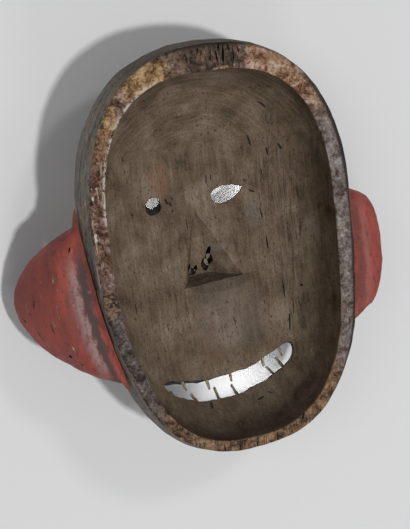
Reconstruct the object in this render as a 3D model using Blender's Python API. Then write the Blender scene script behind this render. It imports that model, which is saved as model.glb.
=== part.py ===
"""Carved wooden mask that lies on its face: a hollow shell, two ears and eleven peg teeth.

Lengths are in metres. X runs across the face, Y from the chin to the forehead, and Z up.
The hollow side is on top with its rim level, and the carved face looks down at the ground.
Depth is measured down from the plane of the rim.
"""
import math
from typing import NamedTuple

import bmesh
import bpy
import numpy as np
from mathutils import Matrix, Vector

NAME = "Carved_Mask"

# Rim outline: an egg made of two superellipses that meet at its widest line.
# An exponent of 2 is an ellipse, and more is squarer.
RIM_HALF_WIDTH = 0.1008
RIM_ABOVE = 0.1191
RIM_BELOW = 0.1803
RIM_EXPONENT_ABOVE = 2.33
RIM_EXPONENT_BELOW = 2.59
RIM_SIDE = 0.0129
RIM_TOP = 0.0193
RIM_BOTTOM = 0.0087
RIM_ROUNDING = 0.0030
RIM_SHIFT = 0.0013       # the outside lies this much to the right of the hollow
CHIN_SWAY = 0.0034       # the chin lies this much to the right
CHIN_SWAY_START = -0.0200
CHIN_SWAY_LENGTH = 0.0700

# Hollow
HOLLOW_DEPTH = 0.0620
HOLLOW_EXPONENT_ABOVE = 2.68
HOLLOW_EXPONENT_BELOW = 2.64
HOLLOW_FULLNESS = 3.0
HOLLOW_DROP = 0.0095     # its widest line lies this much nearer to the chin

# Outside: an almost upright wall, then a dome, then the carved face, worn flat where it rests
FLOOR_THICKNESS = 0.0150
FACE_RELIEF = 0.0110
WALL_DEPTH = 0.0220
WALL_SWELL = 0.0025
DOME_FULLNESS = 2.3
FACE_LEAN = math.radians(3.3)   # the carved face leans against the rim's axis

# Carved face: place, half sizes and height of each swelling, in the face's own axes
BROW_PLACE = (0.042, 0.074)
BROW_SIZE = (0.042, 0.026)
BROW_HEIGHT = 0.0200
FROWN_PLACE = (0.0, 0.074)
FROWN_SIZE = (0.026, 0.024)
FROWN_HEIGHT = 0.0080
CHEEK_PLACE = (0.060, -0.046)
CHEEK_SIZE = (0.034, 0.038)
CHEEK_HEIGHT = 0.0230
SOCKET_SIZE = (0.028, 0.022)
SOCKET_DEPTH = 0.0070
NOSE_BRIDGE = 0.0180         # the outer nose starts this much above the pit
NOSE_BRIDGE_HALF = 0.0130
NOSE_SPREAD = 0.0190
NOSE_HEIGHT = 0.0210
NOSE_UNDERSIDE = 0.0140
LIP_HEIGHT = 0.0070
LIP_WIDTH = 2.6              # times the mouth's half height
LIP_REACH = 1.35             # times the mouth's half length
LIP_FADE = 1.3               # more ends the lips more suddenly
SHOULDER = 1.5               # roundness of the nose and lips: 1 is a ridge like a parabola
NOSE_UNDERSIDE_START = 0.93  # share of the underside that lies beyond the pit's base

DOME_DEPTH = HOLLOW_DEPTH + FLOOR_THICKNESS
RIM_HEIGHT = DOME_DEPTH + FACE_RELIEF
RIM_LINE = (RIM_BELOW - RIM_ABOVE) / 2

# Eyes, in the face's own axes
EYE_OUT = 0.0300
EYE_UP = 0.0335
RIGHT_EYE_LENGTH = 0.0250
RIGHT_EYE_HEIGHT = 0.0135
LEFT_EYE_SIZE = 0.0120
LEFT_EYE_SHIFT = (-0.0020, 0.0003)
RIGHT_EYE_TILT = 0.10
RIGHT_EYE_FULLNESS = 1.12
RIGHT_EYE_POINT = 0.6     # more makes the outer end sharper
EYE_SINK = 0.0035
EYE_SINK_MARGIN = 0.0150
EYE_FLARE = 0.35

# Nose hollow: a three-sided pit, shallow at its top, with two worn holes at its deep end
NOSE_TOP = 0.0273
NOSE_BASE = -0.0327
NOSE_LEFT = -0.0183
NOSE_RIGHT = 0.0303
NOSE_WALL = 0.0100
NOSE_DEEP_LEFT = -0.0070
NOSE_DEEP_RIGHT = 0.0108
NOSE_UNDERCUT = 0.0050
NOSTRIL_RADIUS = 0.0030
NOSTRIL_LENGTH = 0.0260
NOSTRIL_TILT = math.radians(38)

# Mouth: a grin, cut square to the wall, so it spreads and drops as it goes outward
MOUTH_HALF_LENGTH = 0.0560
MOUTH_HALF_HEIGHT = 0.0086
MOUTH_MIDDLE = -0.1117
MOUTH_RISE = 0.0149      # how far its ends curl up
MOUTH_SLOPE = 0.030
MOUTH_END = 6.0
MOUTH_LIFT = 0.0160      # its edge in the hollow lies this much above the hollow's floor
MOUTH_SPREAD = 0.31
MOUTH_LEAN = 0.33

# Teeth: round pegs in drilled sockets. Place along the mouth, visible length and slant
UPPER_TEETH = ((-0.0350, 0.0075, 0.12), (-0.0165, 0.0080, 0.0), (0.0025, 0.0058, -0.03),
               (0.0298, 0.0058, 0.0), (0.0450, 0.0078, 0.15))
LOWER_TEETH = ((-0.0425, 0.0088, 0.27), (-0.0265, 0.0088, 0.35), (-0.0090, 0.0105, 0.13),
               (0.0058, 0.0090, 0.36), (0.0375, 0.0088, 0.60), (0.0455, 0.0100, 0.38))
TOOTH_RADIUS = 0.0013
TOOTH_TIP_RADIUS = 0.0010
TOOTH_SEAT = 0.0040
TOOTH_LIFT = 0.0090      # height above the hollow's floor
TOOTH_SLOPE = math.radians(20)

# Clearance between pieces, and how far a cutter stands clear of the wood
CLEARANCE = 0.0003
CUT_RISE = 0.0120

# Ears: half-round wooden plates that hang outward from the wall, thick at the root
EAR_TOP = 0.0480
LEFT_EAR_BOTTOM = -0.0940
RIGHT_EAR_BOTTOM = -0.0820
LEFT_EAR_LOBE_TOP = 0.0330
RIGHT_EAR_LOBE_TOP = 0.0280
EAR_LOBE_END = 0.0100    # the lobe ends this far above the ear's lower tip
LEFT_EAR_LOBE_POWER = 0.85    # 0.5 is a half ellipse, and more is slimmer at the top
RIGHT_EAR_LOBE_POWER = 0.65
EAR_LOBE_LOWER_POWER = 0.65
LEFT_EAR_REACH = 0.0458
RIGHT_EAR_REACH = 0.0474
LEFT_EAR_DROP = 0.0561
RIGHT_EAR_DROP = 0.0600
EAR_ROOT_SHARE = 0.16
EAR_SEAT_DEPTH = 0.0055
EAR_SEAT_DROP = 0.0173   # the seat lies this much deeper at the top tip
EAR_SEAT_MIDDLE = -0.0450
EAR_THICKNESS = 0.0150
EAR_CAMBER = 0.0080
EAR_RIDGE = 0.0045
EAR_RIDGE_PLACE = (0.22, 0.20)    # middle and half width, as shares of the ear's width
EAR_TROUGH = 0.0040
EAR_TROUGH_PLACE = (0.03, 0.12)
EAR_BOWL = 0.0045
EAR_BOWL_PLACE = (0.55, 0.36)
EAR_TAPER = 0.3                   # share of its thickness lost toward the outer edge
EAR_EDGE = 0.6                    # 1 is a sharp edge, and less is blunter
EAR_CREST = 0.75                  # less moves the camber toward the wall
EAR_TIP_THICKNESS = 0.1           # share of its thickness kept at the slim ends
EAR_FULL_WIDTH = 0.5              # share of its reach from where it is fully thick
EAR_CROWDING = 0.35               # how much its sections crowd toward both tips
EAR_ROOT = 0.0120

# Fineness of the solids
SHELL_SEGMENTS = 72
HOLLOW_RINGS = 14
ROUNDING_RINGS = 2
WALL_RINGS = 3
DOME_RINGS = 19
EAR_RINGS = 26
EAR_SEGMENTS = 18
OUTLINE_SEGMENTS = 40
PEG_SEGMENTS = 8


class Egg(NamedTuple):
    """An egg outline about the point (0, line), with its sizes and exponents."""

    half_width: float
    above: float
    below: float
    exponent_above: float
    exponent_below: float
    line: float


class EarForm(NamedTuple):
    """One ear's own sizes: side is -1 for the left one and 1 for the right one."""

    side: int
    bottom: float
    lobe_top: float
    lobe_power: float
    reach: float
    drop: float


LEFT_EAR = EarForm(-1, LEFT_EAR_BOTTOM, LEFT_EAR_LOBE_TOP, LEFT_EAR_LOBE_POWER, LEFT_EAR_REACH, LEFT_EAR_DROP)
RIGHT_EAR = EarForm(1, RIGHT_EAR_BOTTOM, RIGHT_EAR_LOBE_TOP, RIGHT_EAR_LOBE_POWER, RIGHT_EAR_REACH,
                    RIGHT_EAR_DROP)
OUTER = Egg(RIM_HALF_WIDTH, RIM_ABOVE, RIM_BELOW, RIM_EXPONENT_ABOVE, RIM_EXPONENT_BELOW, RIM_LINE)
INNER = Egg(RIM_HALF_WIDTH - RIM_SIDE, RIM_ABOVE + HOLLOW_DROP - RIM_TOP,
            RIM_BELOW - HOLLOW_DROP - RIM_BOTTOM, HOLLOW_EXPONENT_ABOVE,
            HOLLOW_EXPONENT_BELOW, RIM_LINE - HOLLOW_DROP)


def egg_radius(egg, angle):
    """Distance from an egg's middle to its outline, with angle 0 toward the forehead."""
    up = np.cos(angle)
    length = np.where(up > 0, egg.above, egg.below)
    power = np.where(up > 0, egg.exponent_above, egg.exponent_below)
    return ((np.abs(np.sin(angle)) / egg.half_width) ** power
            + (np.abs(up) / length) ** power) ** (-1 / power)


def egg_half_width(egg, y):
    """Half the width of an egg at a place along Y."""
    rise = y - egg.line
    length = np.where(rise > 0, egg.above, egg.below)
    power = np.where(rise > 0, egg.exponent_above, egg.exponent_below)
    share = np.clip(np.abs(rise) / length, 0, 1)
    return egg.half_width * (1 - share ** power) ** (1 / power)


def bump(x, y, place, size, height):
    """A smooth round swelling of the given half sizes that ends cleanly."""
    far = ((x - place[0]) / size[0]) ** 2 + ((y - place[1]) / size[1]) ** 2
    return height * np.clip(1 - far, 0, None) ** 2


def fold(share, place, height):
    """A smooth fold that runs along the ear, at a share of its width."""
    return height * np.clip(1 - ((share - place[0]) / place[1]) ** 2, 0, None) ** 2


def smooth(share):
    """An even step from 0 to 1 with soft ends."""
    share = np.clip(share, 0, 1)
    return share * share * (3 - 2 * share)


def sway(x, y):
    """Moves places to the right toward the chin."""
    return x + CHIN_SWAY * smooth((CHIN_SWAY_START - y) / CHIN_SWAY_LENGTH)


def mouth_middle(x):
    """The mouth's middle line, in the face's axes."""
    return MOUTH_MIDDLE + MOUTH_SLOPE * x + MOUTH_RISE * (x / MOUTH_HALF_LENGTH) ** 2


def mouth_half_height(x):
    """Half the opening of the mouth at a place along it."""
    share = np.clip(np.abs(x) / MOUTH_HALF_LENGTH, 0, 1)
    return MOUTH_HALF_HEIGHT * np.sqrt(1 - share ** MOUTH_END)


def nose_relief(x, y):
    """Height of the outer nose: a wedge that spreads and rises to a blunt base."""
    top = NOSE_TOP + NOSE_BRIDGE
    fall = np.clip((top - y) / (top - NOSE_BASE), 0, 1)
    middle = fall * (NOSE_LEFT + NOSE_RIGHT) / 2
    half = NOSE_BRIDGE_HALF + NOSE_SPREAD * fall
    across = np.clip(1 - ((x - middle) / half) ** 2, 0, 1) ** SHOULDER
    underside = smooth((y - NOSE_BASE) / NOSE_UNDERSIDE + NOSE_UNDERSIDE_START)
    return NOSE_HEIGHT * fall * across * underside


def lip_relief(x, y):
    """Height of the band of lips around the mouth."""
    reach = smooth(LIP_FADE - LIP_FADE * (x / (LIP_REACH * MOUTH_HALF_LENGTH)) ** 2)
    share = (y - mouth_middle(x)) / (LIP_WIDTH * MOUTH_HALF_HEIGHT)
    return LIP_HEIGHT * reach * np.clip(1 - share ** 2, 0, 1) ** SHOULDER


def face_relief(x, y):
    """How far the carved face stands out of the dome, in the face's axes."""
    relief = bump(x, y, FROWN_PLACE, FROWN_SIZE, FROWN_HEIGHT) + nose_relief(x, y) + lip_relief(x, y)
    for side in (-1, 1):
        relief = relief + bump(side * x, y, BROW_PLACE, BROW_SIZE, BROW_HEIGHT)
        relief = relief + bump(side * x, y, CHEEK_PLACE, CHEEK_SIZE, CHEEK_HEIGHT)
        relief = relief - bump(side * x, y, (EYE_OUT, EYE_UP), SOCKET_SIZE, SOCKET_DEPTH)
    return relief


def eye_sinks(x, y):
    """Depth of the shallow dishes around the eyes on the hollow side."""
    right = (RIGHT_EYE_LENGTH / 2 + EYE_SINK_MARGIN, RIGHT_EYE_HEIGHT / 2 + EYE_SINK_MARGIN)
    left = (LEFT_EYE_SIZE / 2 + EYE_SINK_MARGIN, LEFT_EYE_SIZE / 2 + EYE_SINK_MARGIN)
    return (bump(x, y, (EYE_OUT, EYE_UP), right, EYE_SINK)
            + bump(x, y, (-EYE_OUT, EYE_UP), left, EYE_SINK))


def to_face(x, y):
    """Turns places in the mask's axes into the face's leaning axes."""
    turn, rise = math.cos(FACE_LEAN), math.sin(FACE_LEAN)
    return x * turn + y * rise, y * turn - x * rise


def outside_section(outer, step):
    """Radius and depth of the outside by step, from the rim's edge to the middle of the face.

    The rim's edge is rounded, the wall below it swells a little, and the dome is a
    superellipse. outer is the rim's own radius.
    """
    bend = np.clip(step / ROUNDING_RINGS, 0, 1) * math.pi / 2
    wall = np.clip((step - ROUNDING_RINGS) / WALL_RINGS, 0, 1)
    fall = np.clip((step - ROUNDING_RINGS - WALL_RINGS) / DOME_RINGS, 0, 1) * math.pi / 2
    power = 2 / DOME_FULLNESS
    upright = outer - RIM_ROUNDING * (1 - np.sin(bend)) + WALL_SWELL * (1 - (1 - wall) ** 2)
    radius = upright * np.clip(np.cos(fall), 0, 1) ** power
    depth = (RIM_ROUNDING * (1 - np.cos(bend)) + (WALL_DEPTH - RIM_ROUNDING) * wall
             + (DOME_DEPTH - WALL_DEPTH) * np.sin(fall) ** power)
    return radius, depth


def shell_places(angle, ring):
    """Places of the shell's points by angle around it and ring, from the hollow to the face."""
    in_hollow = ring <= HOLLOW_RINGS
    turn = np.clip(ring / HOLLOW_RINGS, 0, 1) * math.pi / 2
    power = 2 / HOLLOW_FULLNESS
    outside, drop = outside_section(egg_radius(OUTER, angle), np.maximum(ring - HOLLOW_RINGS - 1, 0))
    radius = np.where(in_hollow, egg_radius(INNER, angle) * np.sin(turn) ** power, outside)
    y = np.where(in_hollow, INNER.line, OUTER.line) + radius * np.cos(angle)
    x = sway(radius * np.sin(angle) + np.where(in_hollow, 0, RIM_SHIFT), y)
    face = to_face(x, y)
    hollow = HOLLOW_DEPTH * np.clip(np.cos(turn), 0, 1) ** power + eye_sinks(*face)
    depth = np.where(in_hollow, hollow, np.minimum(drop + face_relief(*face), RIM_HEIGHT))
    return x, y, RIM_HEIGHT - depth


def add_object(name, mesh, collection, material=None):
    """Puts a mesh in a collection as a named object."""
    body = bpy.data.objects.new(name, mesh)
    collection.objects.link(body)
    if material:
        mesh.materials.append(material)
    mesh.shade_smooth()
    mesh.set_sharp_from_angle(angle=math.radians(35))
    return body


def mesh_from(name, shape):
    """Turns a bmesh into a mesh with its faces outward."""
    bmesh.ops.recalc_face_normals(shape, faces=shape.faces)
    mesh = bpy.data.meshes.new(name)
    shape.to_mesh(mesh)
    shape.free()
    return mesh


def ball(name, segments, rings, places):
    """A UV sphere pressed into a new form by places(angle, ring), pole to pole."""
    shape = bmesh.new()
    bmesh.ops.create_uvsphere(shape, u_segments=segments, v_segments=rings, radius=1)
    points = np.array([vertex.co for vertex in shape.verts])
    ring = np.rint(np.arccos(np.clip(points[:, 2], -1, 1)) / math.pi * rings)
    angle = np.arctan2(points[:, 0], points[:, 1])
    for vertex, place in zip(shape.verts, np.stack(places(angle, ring), axis=1)):
        vertex.co = place
    return mesh_from(name, shape)


def prism(name, outline, depths, spread):
    """A column with the outline's section, which spread(x, y, depth) places at each depth."""
    shape = bmesh.new()
    bmesh.ops.create_cone(shape, segments=OUTLINE_SEGMENTS, cap_ends=True, radius1=1, radius2=1,
                          depth=2)
    for vertex in shape.verts:
        depth = depths[0] if vertex.co.z > 0 else depths[1]
        x, y = outline(math.atan2(vertex.co.y, vertex.co.x))
        x, y = spread(x, y, depth)
        vertex.co = (x, y, RIM_HEIGHT - depth)
    return mesh_from(name, shape)


def cut(body, cutter):
    """Takes a cutter out of a body."""
    cutter.hide_render = True
    cutter.display_type = "WIRE"
    step = body.modifiers.new(cutter.name, "BOOLEAN")
    step.operation = "DIFFERENCE"
    step.solver = "EXACT"
    step.object = cutter


def wood(name, color, roughness):
    """A plain wood or painted wood material."""
    material = bpy.data.materials.new(name)
    material.use_nodes = True
    shader = material.node_tree.nodes["Principled BSDF"]
    shader.inputs["Base Color"].default_value = (*color, 1)
    shader.inputs["Roughness"].default_value = roughness
    shader.inputs["Metallic"].default_value = 0
    return material


def right_eye_outline(turn):
    """Almond with a round inner end and a point at its outer end."""
    x = math.cos(turn) * RIGHT_EYE_LENGTH / 2
    lid = abs(math.sin(turn / 2)) ** RIGHT_EYE_POINT
    y = math.sin(turn) * lid * RIGHT_EYE_HEIGHT / 2 * RIGHT_EYE_FULLNESS
    return EYE_OUT + x, EYE_UP + y + RIGHT_EYE_TILT * x


def left_eye_outline(turn):
    """A small round hole."""
    return (LEFT_EYE_SHIFT[0] - EYE_OUT + math.cos(turn) * LEFT_EYE_SIZE / 2,
            LEFT_EYE_SHIFT[1] + EYE_UP + math.sin(turn) * LEFT_EYE_SIZE / 2)


def eye_cutters(collection):
    """The two eye holes, which widen outward."""
    cutters = []
    for side, outline in ((-1, left_eye_outline), (1, right_eye_outline)):
        def flare(x, y, depth):
            """Widens the hole below the hollow's floor."""
            share = EYE_FLARE * max(depth - HOLLOW_DEPTH, 0) / LEFT_EYE_SIZE
            return x + (x - side * EYE_OUT) * share, y + (y - EYE_UP) * share

        name = "Left_Eye_Hole" if side < 0 else "Right_Eye_Hole"
        mesh = prism(name, outline, (HOLLOW_DEPTH - CUT_RISE, RIM_HEIGHT + CUT_RISE), flare)
        cutters.append(add_object(name, mesh, collection))
    return cutters


def mouth_outline(turn):
    """The grin's edge at the depth where it meets the hollow."""
    x = MOUTH_HALF_LENGTH * math.cos(turn)
    side = math.copysign(1, math.sin(turn))
    return x, mouth_middle(x) + side * mouth_half_height(x)


def mouth_spread(x, y, depth):
    """Carries a point of the mouth's edge square through the leaning wall."""
    below = depth - (HOLLOW_DEPTH - MOUTH_LIFT)
    return x * (1 + MOUTH_SPREAD * below / MOUTH_HALF_LENGTH), y - MOUTH_LEAN * below


def mouth_cutter(collection):
    """The mouth's slot."""
    depths = (HOLLOW_DEPTH - MOUTH_LIFT - 2 * CUT_RISE, RIM_HEIGHT + CUT_RISE)
    mesh = prism("Mouth_Slot", mouth_outline, depths, mouth_spread)
    return add_object("Mouth_Slot", mesh, collection)


def nose_cutters(collection):
    """The nose's pit and the two worn holes at its deep end."""
    deep = RIM_HEIGHT - NOSE_WALL
    corners = ((0.0, NOSE_TOP), (NOSE_LEFT, NOSE_BASE), (NOSE_RIGHT, NOSE_BASE))
    ends = ((NOSE_DEEP_LEFT, NOSE_BASE + NOSE_UNDERCUT), (NOSE_DEEP_RIGHT, NOSE_BASE + NOSE_UNDERCUT))
    shape = bmesh.new()
    for x, y in corners:
        for depth in (HOLLOW_DEPTH - CUT_RISE, HOLLOW_DEPTH - CLEARANCE):
            shape.verts.new((x, y, RIM_HEIGHT - depth))
    for x, y in ends:
        shape.verts.new((x, y, RIM_HEIGHT - deep))
    bmesh.ops.convex_hull(shape, input=shape.verts)
    cutters = [add_object("Nose_Pit", mesh_from("Nose_Pit", shape), collection)]
    for side, (x, y) in zip(("Left", "Right"), ends):
        shape = bmesh.new()
        bmesh.ops.create_cone(shape, segments=PEG_SEGMENTS, cap_ends=True, radius1=NOSTRIL_RADIUS,
                              radius2=NOSTRIL_RADIUS, depth=NOSTRIL_LENGTH)
        bmesh.ops.transform(shape, verts=shape.verts, matrix=(
            Matrix.Translation((x, y, RIM_HEIGHT - deep + NOSTRIL_RADIUS))
            @ Matrix.Rotation(-NOSTRIL_TILT, 4, "X")
            @ Matrix.Translation((0, 0, -NOSTRIL_LENGTH / 2 + NOSTRIL_RADIUS))))
        cutters.append(add_object(f"{side}_Nostril", mesh_from(f"{side}_Nostril", shape), collection))
    return cutters


def tooth_axis(place, slant, side):
    """Where a tooth leaves the mouth's edge, and the way it points into the mouth."""
    edge = mouth_middle(place) + side * mouth_half_height(place)
    depth = HOLLOW_DEPTH - TOOTH_LIFT
    x, y = mouth_spread(place, edge, depth)
    way = Vector((-math.sin(slant) * (1 if side < 0 else -1), -side * math.cos(slant), 0))
    way = Matrix.Rotation(-TOOTH_SLOPE, 3, "X") @ way
    return Vector((x, y, RIM_HEIGHT - depth)), way.normalized()


def peg(shape, start, way, length, radii):
    """Adds a tapered peg to a bmesh, from its start along its way."""
    turn = Vector((0, 0, 1)).rotation_difference(way).to_matrix().to_4x4()
    bmesh.ops.create_cone(shape, segments=PEG_SEGMENTS, cap_ends=True, radius1=radii[0],
                          radius2=radii[1], depth=length,
                          matrix=Matrix.Translation(start + way * length / 2) @ turn)


def build_teeth(collection, cutters, material):
    """Every tooth, and one cutter with all of their sockets."""
    sockets = bmesh.new()
    teeth = []
    rows = (("Upper", UPPER_TEETH, 1), ("Lower", LOWER_TEETH, -1))
    for row, sizes, side in rows:
        for number, (place, length, slant) in enumerate(sizes, start=1):
            edge, way = tooth_axis(place, slant, side)
            start = edge - way * TOOTH_SEAT
            shape = bmesh.new()
            peg(shape, start, way, TOOTH_SEAT + length, (TOOTH_RADIUS, TOOTH_TIP_RADIUS))
            name = f"{row}_Tooth_{number}"
            teeth.append(add_object(name, mesh_from(name, shape), collection, material))
            hole = TOOTH_RADIUS + CLEARANCE
            peg(sockets, start - way * CLEARANCE, way, TOOTH_SEAT * 2, (hole, hole))
    return teeth, add_object("Tooth_Sockets", mesh_from("Tooth_Sockets", sockets), cutters)


def build_shell(collection, cutters, material):
    """The carved shell with its eyes, nose pit and mouth cut through."""
    rings = HOLLOW_RINGS + 1 + ROUNDING_RINGS + WALL_RINGS + DOME_RINGS
    mesh = ball("Mask_Shell", SHELL_SEGMENTS, rings, shell_places)
    shell = add_object("Mask_Shell", mesh, collection, material)
    holes = [mouth_cutter(cutters), *eye_cutters(cutters), *nose_cutters(cutters)]
    for hole in holes:
        hole.rotation_euler.z = FACE_LEAN
        cut(shell, hole)
    return shell


def ear_width(form, y):
    """The ear's width as a share of its reach, at places along Y."""
    low = form.bottom + EAR_LOBE_END
    middle, half = (form.lobe_top + low) / 2, (form.lobe_top - low) / 2
    power = np.where(y > middle, form.lobe_power, EAR_LOBE_LOWER_POWER)
    lobe = np.clip(1 - ((y - middle) / half) ** 2, 0, 1) ** power
    along = (EAR_TOP - y) / (EAR_TOP - form.bottom)
    root = EAR_ROOT_SHARE * (1 - np.abs(2 * along - 1) ** 3)
    return np.hypot(lobe, root)


def ear_seat_depth(y):
    """Depth of the ear's back edge where it meets the wall."""
    return EAR_SEAT_DEPTH + EAR_SEAT_DROP * ((y - EAR_SEAT_MIDDLE) / (EAR_TOP - EAR_SEAT_MIDDLE)) ** 2


def ear_places(form, angle, ring):
    """Places of an ear's points: each ring is a section across the ear.

    A section runs from the wall to the outer edge along a falling chord. Its back rises
    to a ridge near the wall with a trough behind it, and its front is bowled.
    """
    even = ring / EAR_RINGS
    along = even + EAR_CROWDING * (0.5 - 0.5 * np.cos(even * math.pi) - even)
    y = EAR_TOP + (form.bottom - EAR_TOP) * along
    width = ear_width(form, y)
    tip = np.sqrt(np.clip(np.sin(along * math.pi), 0, 1))
    slope = math.atan2(form.drop, form.reach)
    length = math.hypot(form.drop, form.reach) * width
    root = EAR_ROOT * tip
    span = (1 - np.cos(angle)) / 2 * (length + root) - root
    share = np.clip(span / np.maximum(length, CLEARANCE), 0, 1)
    half = EAR_THICKNESS / 2 * np.abs(np.sin(angle)) ** EAR_EDGE * (1 - EAR_TAPER * share)
    ridge = fold(share, EAR_RIDGE_PLACE, EAR_RIDGE)
    trough = fold(share, EAR_TROUGH_PLACE, EAR_TROUGH)
    bowl = fold(share, EAR_BOWL_PLACE, EAR_BOWL)
    lift = np.where(np.sin(angle) > 0, half + ridge - trough, bowl - half)
    body = EAR_TIP_THICKNESS + (1 - EAR_TIP_THICKNESS) * np.clip(width / EAR_FULL_WIDTH, 0, 1)
    height = (EAR_CAMBER * np.sin(math.pi * share ** EAR_CREST) + lift) * body * tip
    out = egg_half_width(OUTER, y) + WALL_SWELL + span * math.cos(slope) + height * math.sin(slope)
    drop = span * math.sin(slope) + (EAR_THICKNESS / 2 - height) * math.cos(slope)
    return sway(form.side * out + RIM_SHIFT, y), y, RIM_HEIGHT - ear_seat_depth(y) - drop


def build_ear(name, form, seat, collection, material):
    """One ear, cut to fit the wall."""

    def places(angle, ring):
        """The ear's points."""
        return ear_places(form, angle, ring)

    ear = add_object(name, ball(name, EAR_SEGMENTS, EAR_RINGS, places), collection, material)
    cut(ear, seat)
    return ear


def build_seat(cutters):
    """The wall's outside, closed on top and grown by the clearance, that both ears are cut to."""

    def places(angle, ring):
        """Ring 0 is the middle of the top, ring 1 its edge, and the rest follow the wall."""
        outer = egg_radius(OUTER, angle) + CLEARANCE
        radius, depth = outside_section(outer, np.maximum(ring - 1, 0) + ROUNDING_RINGS)
        radius = np.where(ring == 0, 0, radius)
        depth = np.where(ring <= 1, -CLEARANCE, depth)
        y = OUTER.line + radius * np.cos(angle)
        return sway(radius * np.sin(angle) + RIM_SHIFT, y), y, RIM_HEIGHT - depth

    rings = 1 + WALL_RINGS + DOME_RINGS
    return add_object("Ear_Seat", ball("Ear_Seat", SHELL_SEGMENTS, rings, places), cutters)


def recentre(left_ear, right_ear):
    """Slides every object sideways until the footprint's middle lies on the origin."""
    reach = [vertex.co.x for ear in (left_ear, right_ear) for vertex in ear.data.vertices]
    middle = (min(reach) + max(reach)) / 2
    for body in bpy.data.objects:
        body.location.x -= middle


def clear_scene():
    """Removes whatever the file starts with."""
    for old in list(bpy.data.objects):
        bpy.data.objects.remove(old, do_unlink=True)


def build():
    """Builds every piece of the mask."""
    clear_scene()
    pieces = bpy.data.collections.new(NAME)
    cutters = bpy.data.collections.new("Cutters")
    for group in (pieces, cutters):
        bpy.context.scene.collection.children.link(group)
    bare = wood("Patinated_Wood", (0.20, 0.14, 0.09), 0.75)
    red = wood("Red_Painted_Wood", (0.36, 0.05, 0.04), 0.60)
    pale = wood("Pale_Peg_Wood", (0.55, 0.45, 0.30), 0.65)

    shell = build_shell(pieces, cutters, bare)
    teeth, sockets = build_teeth(pieces, cutters, pale)
    for part in (*teeth, sockets):
        part.rotation_euler.z = FACE_LEAN
    cut(shell, sockets)
    seat = build_seat(cutters)
    recentre(build_ear("Ear_Left", LEFT_EAR, seat, pieces, red),
             build_ear("Ear_Right", RIGHT_EAR, seat, pieces, red))


build()
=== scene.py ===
"""Looks of an old carved wooden mask that lies on its face, seen from its hollow side.

Lengths are in metres. X runs across the face, Y from the chin to the forehead, and Z up.
Every piece is remade as a fine surface from the solid model's own sizes, with its tool marks,
chips, cracks and drilled holes, and gets a finish of its own.
"""
import logging
import math
from dataclasses import dataclass, field
from enum import Enum
from typing import Any, Callable, Sequence

import bmesh
import bpy
import numpy as np
from mathutils import Matrix, Vector


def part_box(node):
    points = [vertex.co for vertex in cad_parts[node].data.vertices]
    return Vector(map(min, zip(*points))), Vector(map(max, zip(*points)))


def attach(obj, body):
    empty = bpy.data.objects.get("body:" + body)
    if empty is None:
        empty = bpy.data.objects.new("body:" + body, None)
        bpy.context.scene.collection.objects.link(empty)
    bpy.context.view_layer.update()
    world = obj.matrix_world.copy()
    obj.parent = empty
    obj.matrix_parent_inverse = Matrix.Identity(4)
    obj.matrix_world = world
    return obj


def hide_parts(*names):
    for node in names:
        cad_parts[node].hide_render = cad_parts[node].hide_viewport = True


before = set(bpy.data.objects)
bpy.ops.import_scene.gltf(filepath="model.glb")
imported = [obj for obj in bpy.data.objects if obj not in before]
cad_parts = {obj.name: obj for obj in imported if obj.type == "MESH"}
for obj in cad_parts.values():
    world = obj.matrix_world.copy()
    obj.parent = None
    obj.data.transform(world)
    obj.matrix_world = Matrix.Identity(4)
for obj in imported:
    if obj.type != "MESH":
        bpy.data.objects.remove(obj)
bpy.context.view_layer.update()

LOG = logging.getLogger("mask")
Array = np.ndarray
Color = tuple[float, float, float]
Point = tuple[float, float, float]

FACE_LEAN = math.radians(3.3)
RIM_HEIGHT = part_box("Mask_Shell")[1].z
MIDDLE = 0.00223             # the footprint's middle lies this much to the right of the face's
RIM_SHIFT = 0.0013           # the outside lies this much to the right of the hollow
CHIN_SWAY = 0.0034           # the chin lies this much to the right
CHIN_SWAY_START = -0.02
CHIN_SWAY_LENGTH = 0.07
CUT_DEPTH = RIM_HEIGHT + 0.012  # cuts right through end this far under the rim, below the ground
UP = np.array([0.0, 0.0, 1.0])


class Side(Enum):
    """Side of the face, as seen from the hollow, with its sign along X."""

    LEFT = -1
    RIGHT = 1


class Row(Enum):
    """Row of teeth, with the sign of its edge along Y."""

    UPPER = 1
    LOWER = -1


class Zone(Enum):
    """Material slots of a carved piece: its surface, the wall of a hole, and a fresh chip."""

    SURFACE = 0
    HOLE = 1
    CHIP = 2


def ease(share: Array) -> Array:
    """Smooth step: 3 s squared less 2 s cubed, with s held from 0 to 1.

    Args:
        share: any numbers.

    Returns:
        Numbers from 0 to 1 with soft ends.
    """
    share = np.clip(share, 0, 1)
    return share * share * (3 - 2 * share)


def sway(y: Array) -> Array:
    """How far the mask leans to the right at places along Y: a soft step toward the chin."""
    return CHIN_SWAY * ease((CHIN_SWAY_START - y) / CHIN_SWAY_LENGTH)


def bump(x: Array, y: Array, place: Sequence[float], size: Sequence[float], height: float) -> Array:
    """Round swelling: height times (1 less the squared distance in half sizes), squared.

    Args:
        x: places across.
        y: places along.
        place: middle of the swelling.
        size: its half sizes.
        height: its height at the middle.

    Returns:
        Height at each place, 0 outside the swelling.
    """
    far = ((x - place[0]) / size[0]) ** 2 + ((y - place[1]) / size[1]) ** 2
    return height * np.clip(1 - far, 0, None) ** 2


def fold(share: Array, place: float, half: float, height: float) -> Array:
    """Straight swelling: a bump of one coordinate, with its middle at place."""
    return bump(share, np.zeros_like(share), (place, 0), (half, 1), height)


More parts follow.
